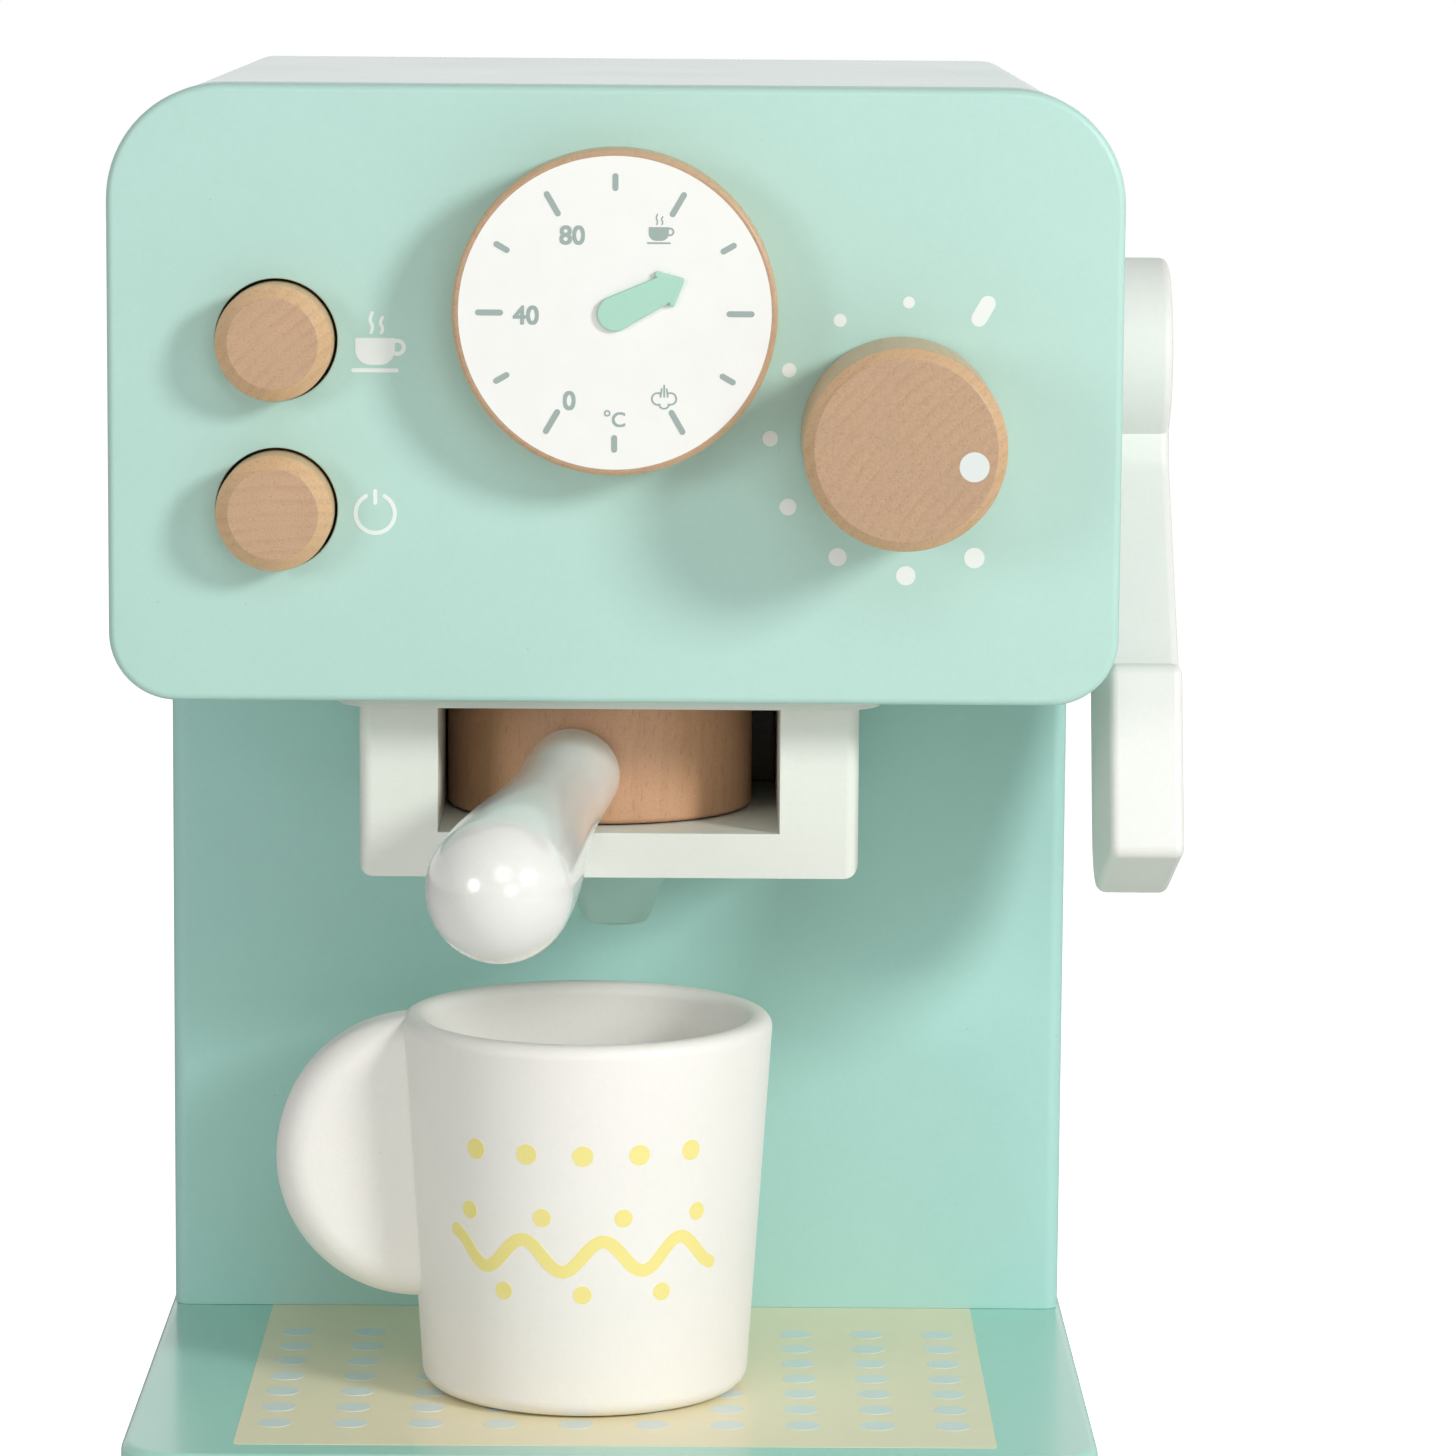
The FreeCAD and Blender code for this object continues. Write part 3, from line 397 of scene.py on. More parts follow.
def cleared(piece, screws, direction):
    """Bores a round hole through a board for each screw of a node."""
    copy = frame["nodes"][screws].copy()
    copy.data = copy.data.copy()
    bpy.context.scene.collection.objects.link(copy)
    edit(copy)
    healed()
    edit(copy)
    bpy.ops.mesh.separate(type="LOOSE")
    close()
    for screw in list(bpy.context.selected_objects):
        points = [screw.matrix_world @ vertex.co for vertex in screw.data.vertices]
        low, high = (Vector(pick(point[axis] for point in points) for axis in range(3))
                     for pick in (min, max))
        bpy.data.objects.remove(screw)
        reach = (high - low).dot(direction)
        start = (low + high) / 2 - direction * reach
        clearance = MM / 10
        radius = (high.x - low.x) / 2 + clearance
        cut(piece, pillar("bore", radius, start, direction, 2 * reach, 48))
    return piece


def joined(name, pieces):
    bpy.ops.object.select_all(action="DESELECT")
    for piece in pieces:
        piece.select_set(True)
    bpy.context.view_layer.objects.active = pieces[0]
    if len(pieces) > 1:
        bpy.ops.object.join()
    pieces[0].name = name
    return pieces[0]


def smooth(piece, degrees=38):
    """Smooth shading that keeps flat faces flat and sharp edges sharp."""
    alone(piece)
    bpy.ops.object.shade_smooth_by_angle(angle=math.radians(degrees))
    weighing = piece.modifiers.new("weigh", "WEIGHTED_NORMAL")
    weighing.keep_sharp = True
    bpy.ops.object.modifier_apply(modifier=weighing.name)
    return piece


def softened(corners, closed=False, steps=6):
    """Points of an outline whose corners, given as across, up and radius, are rounded."""
    points = []
    for index, (across, up, radius) in enumerate(corners):
        corner = Vector((across, up))
        at_end = not closed and index in (0, len(corners) - 1)
        if at_end or radius == 0:
            points.append(corner)
            continue
        back = (Vector(corners[index - 1][:2]) - corner).normalized()
        onward = (Vector(corners[(index + 1) % len(corners)][:2]) - corner).normalized()
        half = back.angle(onward) / 2
        centre = corner + (back + onward).normalized() * (radius / math.sin(half))
        start = corner + back * (radius / math.tan(half)) - centre
        end = corner + onward * (radius / math.tan(half)) - centre
        sweep = math.atan2(start.cross(end), start.dot(end))
        for step in range(steps + 1):
            points.append(centre + Matrix.Rotation(sweep * step / steps, 2) @ start)
    return points


def arc(radius, start, sweep, steps, across=0, up=0):
    """Points round a centre, from one angle through a sweep in radians."""
    turns = [start + sweep * step / steps for step in range(steps + 1)]
    return [Vector((across + radius * math.cos(turn), up + radius * math.sin(turn))) for turn in turns]


def chain(name, points):
    """A run of edges through 3D points, left open in edit mode."""
    bpy.ops.mesh.primitive_plane_add(size=MM)
    piece = bpy.context.object
    piece.name = name
    edit(piece)
    bpy.ops.mesh.merge(type="CENTER")
    bpy.ops.transform.translate(value=points[0])
    for before, after in zip(points, points[1:]):
        bpy.ops.mesh.extrude_vertices_move(TRANSFORM_OT_translate={"value": after - before})
    bpy.ops.mesh.select_all(action="SELECT")
    return piece


def healed():
    """Merges doubled points, points all faces outwards and leaves edit mode."""
    bpy.ops.mesh.select_all(action="SELECT")
    bpy.ops.mesh.remove_doubles(threshold=MM / 1000)
    bpy.ops.mesh.normals_make_consistent(inside=False)
    close()


def turned(name, profile, foot, direction, sides=96):
    """A turned piece from its half profile, given as radius and height."""
    piece = chain(name, [Vector((radius, 0, height)) for radius, height in profile])
    bpy.ops.mesh.spin(steps=sides, angle=2 * math.pi, center=(0, 0, 0), axis=(0, 0, 1))
    healed()
    return aimed(piece, foot, direction)


def lathed(name, node, profile, sides=96):
    """A turned piece that stands on the back of a node and faces the front."""
    centre = middle(node)
    return turned(name, profile, Vector((centre.x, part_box(node)[1].y, centre.z)), -BACK, sides)


def slab(name, outline, thickness, edge=0, segments=4):
    """A board cut to an outline in its own XY plane, with both rims rounded."""
    piece = chain(name, [Vector((across, up, 0)) for across, up in outline])
    bpy.ops.mesh.edge_face_add()
    bpy.ops.mesh.select_all(action="SELECT")
    bpy.ops.mesh.extrude_region_move(TRANSFORM_OT_translate={"value": (0, 0, thickness)})
    healed()
    if edge:
        rounded(piece, lies_at(2, 0, thickness), edge, segments)
    return piece


# Ink, drawn flat in the XY plane and then put on its surface

def ink_disc(across, up, radius, sides=40):
    thickness = bpy.context.scene.toy_prints.ink
    bpy.ops.mesh.primitive_cylinder_add(vertices=sides, radius=radius, depth=2 * thickness,
                                        location=(across, up, 0))
    return settled(bpy.context.object)


def ink_shape(outline):
    thickness = bpy.context.scene.toy_prints.ink
    piece = slab("ink", outline, 2 * thickness)
    piece.location.z = -thickness
    return settled(piece)


def ink_bar(start, end, width):
    """A mark with round ends."""
    onward = (end - start).normalized()
    turn = math.atan2(onward.y, onward.x)
    outline = (arc(width / 2, turn - QUARTER, math.pi, 10, *end)
               + arc(width / 2, turn + QUARTER, math.pi, 10, *start))
    return ink_shape(outline)


def ink_line(points, width, closed=False):
    """A stroke along a smooth line, with round ends."""
    thickness = bpy.context.scene.toy_prints.ink
    curve = bpy.data.curves.new("ink", "CURVE")
    curve.dimensions = "3D"
    curve.twist_mode = "Z_UP"
    curve.extrude = width / 2
    curve.resolution_u = 6
    line = curve.splines.new("NURBS")
    line.points.add(len(points) - 1)
    for control, point in zip(line.points, points):
        control.co = (*point, 0, 1)
        control.tilt = QUARTER
    line.order_u = 3
    line.use_endpoint_u = not closed
    line.use_cyclic_u = closed
    piece = bpy.data.objects.new("ink", curve)
    bpy.context.scene.collection.objects.link(piece)
    alone(piece)
    bpy.ops.object.convert(target="MESH")
    stroke = bpy.context.object
    edit(stroke)
    bpy.ops.transform.translate(value=(0, 0, -thickness))
    bpy.ops.mesh.extrude_region_move(TRANSFORM_OT_translate={"value": (0, 0, 2 * thickness)})
    healed()
    if closed:
        return [stroke]
    return [stroke, ink_disc(*points[0], width / 2, 20), ink_disc(*points[-1], width / 2, 20)]


def ink_words(words, across, up, height, weight):
    """Figures centred on a place, printed five times a little apart to make them bold."""
    cap_share = 0.73
    pieces = []
    for right, high in ((0, 0), (1, 1), (1, -1), (-1, 1), (-1, -1)):
        bpy.ops.object.text_add()
        piece = bpy.context.object
        piece.data.body = words
        piece.data.align_x = "CENTER"
        piece.data.size = height / cap_share
        piece.data.extrude = bpy.context.scene.toy_prints.ink
        bpy.ops.object.convert(target="MESH")
        piece = bpy.context.object
        piece.location = (across + right * weight, up - height / 2 + high * weight, 0)
        pieces.append(settled(piece))
    return pieces


def cup_symbol(across, up, width, stroke):
    """A cup on its saucer, with a ring for a handle and two wisps of steam."""
    half = width / 2
    deep = 0.68 * width
    corner = 0.55 * deep
    bowl = softened([(-half, deep, 0), (-half, 0, corner), (half, 0, corner), (half, deep, 0)],
                    closed=True)
    pieces = [ink_shape([Vector((across, up)) + point for point in bowl])]
    saucer = Vector((across, up - 1.35 * stroke))
    reach = Vector((1.1 * half, 0))
    pieces.append(ink_bar(saucer - reach, saucer + reach, stroke))
    opening = 2.2
    ring = arc(0.17 * width, -opening, 2 * opening, 12, across + 1.12 * half, up + 0.66 * deep)
    pieces += ink_line(ring, stroke)
    curl = 0.06 * width
    for side, tall in ((-0.2, 0.5 * width), (0.32, 0.38 * width)):
        foot = Vector((across + half * side, up + 1.2 * deep))
        bends = ((0, 0), (curl, 0.3 * tall), (-curl, 0.65 * tall), (curl / 2, tall))
        pieces += ink_line([foot + Vector(bend) for bend in bends], 0.8 * stroke)
    return pieces


def printed(name, pieces):
    """Joins inks, each a hair higher than the last so that no two faces coincide."""
    for index, piece in enumerate(pieces):
        piece.location.z += index % 9 * MM / 400
        settled(piece)
    return joined(name, pieces)


def upright(piece, x, y, z):
    """Stands a flat print up to face the front, at a place."""
    piece.rotation_mode = "XYZ"
    piece.rotation_euler = (QUARTER, 0, 0)
    piece.location = (x, y, z)
    return settled(piece)


# Materials

class Number:
    """A value inside a node tree, which Python's operators combine."""

    def __init__(self, nodes, socket):
        self.nodes = nodes
        self.socket = socket

    def maths(self, operation, first, second):
        return self.nodes.node("ShaderNodeMath", {"operation": operation}, {0: first, 1: second})

    def __add__(self, other):
        return self.maths("ADD", self, other)

    def __sub__(self, other):
        return self.maths("SUBTRACT", self, other)

    def __mul__(self, other):
        return self.maths("MULTIPLY", self, other)

    def __pow__(self, other):
        return self.maths("POWER", self, other)

    __radd__ = __add__
    __rmul__ = __mul__


class Nodes:
    """The node tree of a material or of the surroundings."""

    def __init__(self, tree):
        self.tree = tree

    def node(self, kind, settings, sockets, output=0):
        """Adds a node with its settings, then its socket values or links."""
        made = self.tree.nodes.new(kind)
        for key, value in settings.items():
            setattr(made, key, value)
        for key, value in sockets.items():
            self.feed(made.inputs[key], value)
        return Number(self, made.outputs[output])

    def feed(self, socket, value):
        if isinstance(value, Number):
            self.tree.links.new(value.socket, socket)
        elif socket.type == "RGBA":
            socket.default_value = (*value, 1)
        else:
            socket.default_value = value


class Finish(Nodes):
    """A material put together from nodes."""

    def __init__(self, name, roughness, **constants):
        self.material = bpy.data.materials.new(name)
        self.material.use_nodes = True
        super().__init__(self.material.node_tree)
        self.shader = self.tree.nodes["Principled BSDF"]
        self.shader.inputs["Roughness"].default_value = roughness
        for socket, value in constants.items():
            self.shader.inputs[socket.replace("_", " ")].default_value = value

    def use(self, socket, value):
        """Feeds one socket of the shader."""
        self.feed(self.shader.inputs[socket], value)

    def place(self, size=1.0, centre=(0, 0, 0)):
        """The piece's own coordinates about a centre, counted in features of a size."""
        own = self.node("ShaderNodeTexCoord", {}, {}, "Object")
        sizes = [size] * 3 if isinstance(size, float) else size
        return self.node("ShaderNodeMapping", {"vector_type": "TEXTURE"},
                         {"Vector": own, "Location": centre, "Scale": sizes})

    def noise(self, size, detail=2.0, roughness=0.5, centre=(0, 0, 0)):
        """Cloudy spots of a size, which may be longer along one axis."""
        return self.node("ShaderNodeTexNoise", {},
                         {"Vector": self.place(size, centre), "Scale": 1.0, "Detail": detail,
                          "Roughness": roughness})

    def span(self, value, low, high, to_low=0.0, to_high=1.0):
        """Runs from one value to another as the input crosses a range."""
        return self.node("ShaderNodeMapRange", {"interpolation_type": "SMOOTHSTEP"},
                         {0: value, 1: low, 2: high, 3: to_low, 4: to_high})

    def mix(self, share, first, second):
        return self.node("ShaderNodeMix", {"data_type": "RGBA"}, {0: share, 6: first, 7: second}, 2)

    def brighter(self, shade, factor):
        """A colour made lighter or darker by a number near one."""
        return self.node("ShaderNodeVectorMath", {"operation": "SCALE"}, {0: shade, "Scale": factor})

    def part(self, vector, axis):
        return self.node("ShaderNodeSeparateXYZ", {}, {"Vector": vector}, axis)

    def emboss(self, height, distance):
        """Raises the surface by a height that runs from nought to one."""
        self.use("Normal", self.node("ShaderNodeBump", {}, {"Distance": distance, "Height": height}))


def stretched(width, reach, axis):
    """The size of features that are longer along one axis."""
    return [reach if index == axis else width for index in range(3)]


def tinted(shade, factor):
    return tuple(channel * factor for channel in shade)


def warmed(shade, tone, warmth):
    """A wood colour made lighter or darker, and redder."""
    red, green, blue = tinted(shade, tone)
    return red * (1 + warmth), green, blue


def sprayed(name, shade, roughness=0.42, grain=None, speck=0.5, texture=0.5, coat=0.0, shine=0.5):
    """Paint on wood or board: faint mottling, a fine orange peel and a few specks of dust."""
    finish = Finish(name, roughness, Coat_Weight=coat, Coat_Roughness=0.12, Specular_IOR_Level=shine)
    cloud = finish.noise(30 * MM, 3)
    fine = finish.noise(1.1 * MM, 3, 0.6)
    peel = finish.noise(0.6 * MM)
    tone = 0.95 + 0.05 * cloud + 0.05 * fine
    height = 0.6 * peel + 0.4 * fine
    if grain is not None:
        lines = finish.noise(stretched(0.6 * MM, 50 * MM, grain), 4, 0.65)
        tone = tone + 0.035 * lines - 0.018
        height = 0.45 * height + 0.55 * lines
    cells = finish.node("ShaderNodeTexVoronoi", {}, {"Vector": finish.place(9 * MM), "Scale": 1.0})
    speck_core, speck_rim, speck_shade = 0.012, 0.022, 0.55
    dust = finish.span(cells, speck_core, speck_rim, speck, 0.0)
    base = finish.brighter(shade, tone)
    finish.use("Base Color", finish.mix(dust, base, tinted(shade, speck_shade)))
    finish.use("Roughness", roughness - 0.05 + 0.1 * cloud)
    finish.emboss(height, 0.05 * MM * texture)
    return finish.material


def inked(name, shade, roughness=0.5):
    """Screen-printed ink: nearly even, with a fine mesh in its surface."""
    finish = Finish(name, roughness)
    cloud = finish.noise(6 * MM, 3)
    mesh = finish.noise(0.4 * MM, 1)
    finish.use("Base Color", finish.brighter(shade, 0.97 + 0.05 * cloud + 0.01 * mesh))
    finish.use("Roughness", roughness - 0.04 + 0.08 * cloud)
    finish.emboss(mesh, 0.01 * MM)
    return finish.material


def beech(name, centre, fibre=2, pith=(30, -20), tone=1.0, warmth=0.0):
    """Bare beech with fibres along one axis, and its pith so many millimetres beside the centre."""
    woods = bpy.context.scene.toy_woods
    pitch, width, reach = woods.ring_pitch, woods.fibre_width, woods.fibre_length
    finish = Finish(name, 0.55, Coat_Weight=0.35, Coat_Roughness=0.25)
    first, second = (axis for axis in range(3) if axis != fibre)
    heart = list(centre)
    heart[first] += pith[0] * MM
    heart[second] += pith[1] * MM
    own = finish.place(1.0, heart)
    wobble = finish.noise(stretched(8 * pitch, 6 * reach, fibre), centre=centre)
    distance = (finish.part(own, first) ** 2 + finish.part(own, second) ** 2) ** 0.5
    rings = distance * (1 / pitch) + 1.6 * wobble
    wave = finish.node("ShaderNodeMath", {"operation": "FRACT"}, {0: rings})
    late = finish.span(wave, 0.35, 0.93) * finish.span(wave, 0.93, 1.0, 1.0, 0.0)
    fibres = finish.noise(stretched(width, reach, fibre), 4, 0.7, centre)
    spots = finish.noise(stretched(2.4 * width, 0.28 * reach, fibre), 1, centre=centre)
    flecks = finish.span(spots, 0.6, 0.72)
    broad = finish.noise(12 * MM, centre=centre)
    patchy = finish.span(finish.noise(7 * MM, centre=centre), 0.3, 0.7)
    pores = finish.noise(1.5 * width, roughness=0.7, centre=centre)
    facing = finish.part(finish.node("ShaderNodeTexCoord", {}, {}, "Normal"), fibre)
    end = finish.span(facing * facing, 0.35, 0.95)
    side, end_grain, ring = (warmed(shade, tone, warmth)
                             for shade in (woods.side, woods.end, woods.ring))
    plain = finish.mix(end, side, end_grain)
    ringed = finish.mix(late * (0.04 + 0.2 * patchy) * (0.7 + 0.5 * end), plain, ring)
    flecked = finish.mix(0.25 * flecks, ringed, tinted(ring, 0.82))
    speckled = 0.86 + 0.1 * fibres + 0.12 * broad + 0.45 * (pores - 0.5)
    finish.use("Base Color", finish.brighter(flecked, speckled))
    finish.use("Roughness", 0.47 + 0.14 * fibres)
    finish.emboss(0.7 * fibres - 0.3 * flecks, 0.06 * MM)
    return finish.material


def bright_steel(name, shade, axis=1):
    """Plated steel with fine drawn lines."""
    finish = Finish(name, 0.3, Metallic=1.0)
    lines = finish.noise(stretched(0.2 * MM, 4 * MM, axis), 3)
    stain = finish.noise(2 * MM)
    finish.use("Base Color", finish.brighter(shade, 0.86 + 0.16 * lines + 0.1 * stain))
    finish.use("Roughness", 0.24 + 0.16 * stain)
    finish.emboss(lines, 0.01 * MM)
    return finish.material


def dressed(piece, material, body, slot=None, *nodes, sharp=38):
    """Smooths a piece, and gives it its material and the body that it moves with."""
    smooth(piece, sharp)
    piece.data.materials.clear()
    piece.data.materials.append(material)
    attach(piece, body)
    if nodes:
        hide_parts(*nodes)
    return piece


# Operators

class TOY_OT_body_boards(bpy.types.Operator):
    """The base, the column, the sides, the top and the floor of the head"""

    bl_idname = "toy.body_boards"
    bl_label = "Body boards"

    def execute(self, context):
        edges, paints = context.scene.toy_edges, context.scene.toy_paints
        # The satin boards get the lightened column mint: painted light for boards in the head's shade.
        satin = sprayed("mint_satin_paint", paints.column_mint_painted_light, 0.36, shine=0.3)
        # The base gets the less red mint: painted shade.
        gloss = sprayed("mint_base_paint", paints.base_mint_painted_shade, 0.24, coat=0.25)
        sheen = sprayed("mint_top_paint", paints.mint, 0.21, coat=0.2)
        pieces = [
            (self.base(edges), gloss, "base_board"),
            (self.top(edges), sheen, "top_board"),
            (self.column(edges), satin, "column_front_board"),
            (self.back(edges), satin, "back_board"),
            (self.side("left", edges), satin, "left_side_board"),
            (self.side("right", edges), satin, "right_side_board"),
            (self.plain("head_floor_board", edges), satin, "head_floor_board"),
        ]
        for piece, material, node in pieces:
            dressed(piece, material, "machine", "mint_paint", node)
        return {"FINISHED"}

    def plain(self, node, edges):
        piece = block("painted_" + node, *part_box(node))
        return rounded(piece, every, edges.seam, 2)

    def base(self, edges):
        low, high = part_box("base_board")
        piece = block("painted_base", low, high)
        rounded(piece, runs_along(2), edges.base_corner, 12)
        rounded(piece, lies_at(2, high.z), edges.base_rim, 5)
        rounded(piece, lies_at(2, low.z), edges.eased, 1)
        return cleared(piece, "base_screws", UP)

    def top(self, edges):
        low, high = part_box("top_board")
        piece = block("painted_top", low, high)
        rounded(piece, both(runs_along(1), lies_at(2, high.z)), edges.shoulder, 16)
        rounded(piece, lambda edge: lies_at(1, high.y)(edge) and not lies_at(2, low.z)(edge),
                edges.eased, 3)
        return rounded(piece, lies_at(2, low.z), edges.seam, 2)

    def column(self, edges):
        low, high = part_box("column_front_board")
        piece = block("painted_column_front", low, high)
        rounded(piece, both(runs_along(2), lies_at(1, low.y)), edges.column_edge, 6)
        return rounded(piece, lies_at(2, low.z), edges.seam, 2)

    def back(self, edges):
        low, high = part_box("back_board")
        piece = rounded(block("painted_back", low, high), lies_at(1, high.y), edges.eased, 3)
        return cleared(piece, "back_screws", BACK)

    def side(self, name, edges):
        """A side that stands on the base and reaches forward beside the head."""
        low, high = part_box(name + "_side_board")
        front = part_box("column_front_board")[1].y
        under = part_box("front_panel")[0].z
        piece = block("painted_" + name + "_side", low, high)
        gap = block("gap", low - Vector((MM, MM, MM)), Vector((high.x + MM, front, under)))
        cut(piece, gap)
        outer = high.x if high.x > 0 else low.x
        return rounded(piece, both(lies_at(0, outer), lies_at(2, under)), edges.eased, 3)


class TOY_OT_front_panel(bpy.types.Operator):
    """The front panel with its two button holes, and the ink on it"""

    bl_idname = "toy.front_panel"
    bl_label = "Front panel"

    def execute(self, context):
        edges, paints = context.scene.toy_edges, context.scene.toy_paints
        low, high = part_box("front_panel")
        piece = block("painted_front_panel", low, high)
        for height, radius in ((high.z, edges.panel_top_corner), (low.z, edges.panel_lower_corner)):
            rounded(piece, both(runs_along(1), lies_at(2, height)), radius, 20)
        rounded(piece, lies_at(1, low.y, high.y), edges.panel_rim, 6)
        for button in ("brew_button", "power_button"):
            self.bore(piece, button, low.y, high.y)
        dressed(piece, sprayed("mint_panel_paint", paints.mint, 0.38, shine=0.3), "machine",
                "mint_paint", "front_panel")
        self.knob_dots(context)
        self.icons(context)
        return {"FINISHED"}

    def bore(self, piece, button, front, back):
        """A hole round a button, with a softened rim."""
        gap, softening = 0.5 * MM, 0.35 * MM
        low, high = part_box(button)
        radius = (high.x - low.x) / 2 + gap
        start = Vector((middle(button).x, front - MM, middle(button).z))
        cut(piece, pillar("bore", radius, start, BACK, back - front + 2 * MM, 72))

        def round_hole(edge):
            spokes = [(point - start) * Vector((1, 0, 1)) for point in ends(edge)]
            return all(abs(spoke.length - radius) < MM / 50 for spoke in spokes)
        rounded(piece, both(round_hole, lies_at(1, front)), softening, 2)

    def knob_dots(self, context):
        """Dots that grow round the knob, and one long mark."""
        prints = context.scene.toy_prints
        centre = middle("control_knob")
        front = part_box("front_panel")[0].y
        hours = 8
        hour = math.pi / 6
        pieces = []
        for index in range(hours):
            place = arc(prints.dot_ring, QUARTER + hour * index, 0, 1)[0]
            radius = prints.dot_small + (prints.dot_large - prints.dot_small) * index / (hours - 1)
            pieces.append(ink_disc(*place, radius))
        toward = Vector((math.cos(2 * hour), math.sin(2 * hour)))
        pieces.append(ink_bar(toward * prints.pill_inner, toward * prints.pill_outer,
                              prints.pill_width))
        dots = printed("knob_dots_print", pieces)
        upright(dots, centre.x + prints.dot_ring_across, front, centre.z - prints.dot_ring_down)
        white = inked("white_ink", context.scene.toy_paints.print_white)
        dressed(dots, white, "machine", "white_paint")

    def icons(self, context):
        """A cup beside the upper button and a power sign beside the lower one."""
        prints = context.scene.toy_prints
        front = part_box("front_panel")[0].y
        white = inked("white_icon_ink", context.scene.toy_paints.print_white)
        brew, power = middle("brew_button"), middle("power_button")
        cup = printed("cup_icon_print", cup_symbol(0, 0, prints.icon_cup, prints.icon_stroke))
        cup_drop, sign_drop = 4.3 * MM, 0.7 * MM
        upright(cup, brew.x + prints.icon_across, front, brew.z - cup_drop)
        gap = math.radians(28)
        ring = arc(prints.icon_power, QUARTER + gap, 2 * (math.pi - gap), 24)
        bar_foot, bar_top = Vector((0, 1.9 * MM)), Vector((0, 4 * MM))
        sign = printed("power_icon_print", ink_line(ring, prints.icon_stroke)
                       + [ink_bar(bar_foot, bar_top, prints.icon_stroke)])
        upright(sign, power.x + prints.icon_across, front, power.z - sign_drop)
        for piece in (cup, sign):
            dressed(piece, white, "machine", "white_paint")


class TOY_OT_dial(bpy.types.Operator):
    """The wooden dial with its white face and scale, and the pointer"""

    bl_idname = "toy.dial"
    bl_label = "Dial"

    def execute(self, context):
        scene = context.scene
        low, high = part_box("dial_disc")
        centre = middle("dial_disc")
        radius = (high.x - low.x) / 2
        thick = high.y - low.y
        rim = scene.toy_turnery.dial_rim
        profile = softened([(0, 0, 0), (radius, 0, 0), (radius, thick, rim), (0, thick, 0)])
        disc = lathed("turned_dial", "dial_disc", profile, 128)
        wood = beech("dial_beech", centre, fibre=1, pith=(-50, 60), tone=0.88)
        dressed(disc, wood, "machine", "natural_beech", "dial_disc")
        self.face(scene, centre, radius, low.y)
        self.scale(scene, centre, low.y)
        self.pointer(scene)
        return {"FINISHED"}

    def face(self, scene, centre, radius, front):
        """The white ground that the scale is printed on."""
        face = upright(ink_disc(0, 0, radius - scene.toy_prints.face_margin, 128), centre.x, front,
                       centre.z)
        face.name = "dial_face_print"
        white = inked("dial_ink", scene.toy_paints.dial_white, 0.42)
        dressed(face, white, "machine", "white_paint")

    def scale(self, scene, centre, front):
        """Twelve ticks, three figures and the signs for a cup and for steam."""
        prints = scene.toy_prints
        pieces = []
        for hour in range(12):
            toward = Vector((math.cos(hour * math.pi / 6), math.sin(hour * math.pi / 6)))
            tick = prints.tick_short if hour % 2 else prints.tick_long
            inner = prints.tick_end - tick
            half = prints.tick_width / 2
            pieces.append(ink_bar(toward * (inner + half), toward * (prints.tick_end - half), 2 * half))
        # Figures and their places across and up from the dial's middle, in millimetres
        bold = 0.11 * MM
        for words, across, up in (("80", -7.5, 13.7), ("40", -15.5, -0.3), ("0", -7.9, -15.2)):
            pieces += ink_words(words, across * MM, up * MM, prints.figure, bold)
        pieces += ink_words("C", 0.75 * MM, -18.5 * MM, 0.8 * prints.figure, bold / 2)
        degree = arc(0.45 * MM, 0, 2 * math.pi, 12, -1.25 * MM, -17.5 * MM)
        pieces += ink_line(degree[:-1], 0.28 * MM, closed=True)
        pieces += cup_symbol(7.6 * MM, 12.7 * MM, 0.5 * prints.icon_cup, 0.42 * prints.icon_stroke)
        pieces += self.steam(8.7 * MM, -14.9 * MM, 4.2 * MM, 0.3 * MM)
        print_piece = printed("dial_scale_print", pieces)
        upright(print_piece, centre.x, front - prints.ink, centre.z)
        grey = inked("grey_ink", scene.toy_paints.print_grey)
        dressed(print_piece, grey, "machine")

    def steam(self, across, up, width, stroke):
        """A small cloud in outline, with three short strokes of steam above."""
        lobe = width / 4
        pieces = []
        # Each bulge has a start and a sweep in degrees, its points, and its size and place in lobes
        bulges = ((65, 225, 10, 1, -1.05, 0), (200, 140, 8, 0.85, 0, -0.8), (-110, 225, 10, 1, 1.05, 0))
        for start, sweep, steps, size, side, rise in bulges:
            pieces += ink_line(arc(size * lobe, math.radians(start), math.radians(sweep), steps,
                                   across + side * lobe, up + rise * lobe), stroke)
        for side, tall in ((-0.6, 1.3), (0, 1.9), (0.6, 1.3)):
            foot = Vector((across + side * lobe, up + 0.35 * lobe))
            pieces.append(ink_bar(foot, foot + Vector((-0.3 * side, tall)) * lobe, stroke))
        return pieces

    def pointer(self, scene):
        """A flat arrow with a round tail."""
        low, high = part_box("dial_pointer")
        axle = middle("pointer_axle")
        tail, neck, barb = 3.1 * MM, 2.5 * MM, 4.4 * MM
        shaft, reach, tip = 9.3 * MM, 13.7 * MM, 0.5 * MM
        head = softened([(shaft, -neck, 0), (shaft - tip, -barb, tip), (reach, 0, tip),
                         (shaft - tip, barb, tip), (shaft, neck, 0)], steps=5)
        outline = head + arc(tail, QUARTER, math.pi, 20)
        softening, turn = 0.25 * MM, math.radians(26.5)
        arrow = slab("painted_pointer", outline, high.y - low.y, softening, 3)
        arrow.rotation_euler = (0, 0, turn)
        settled(arrow)
        upright(arrow, axle.x, high.y, axle.z)
        dressed(arrow, sprayed("pointer_paint", scene.toy_paints.pointer, 0.5, speck=0),
                "pointer_unit", "mint_paint", "dial_pointer")


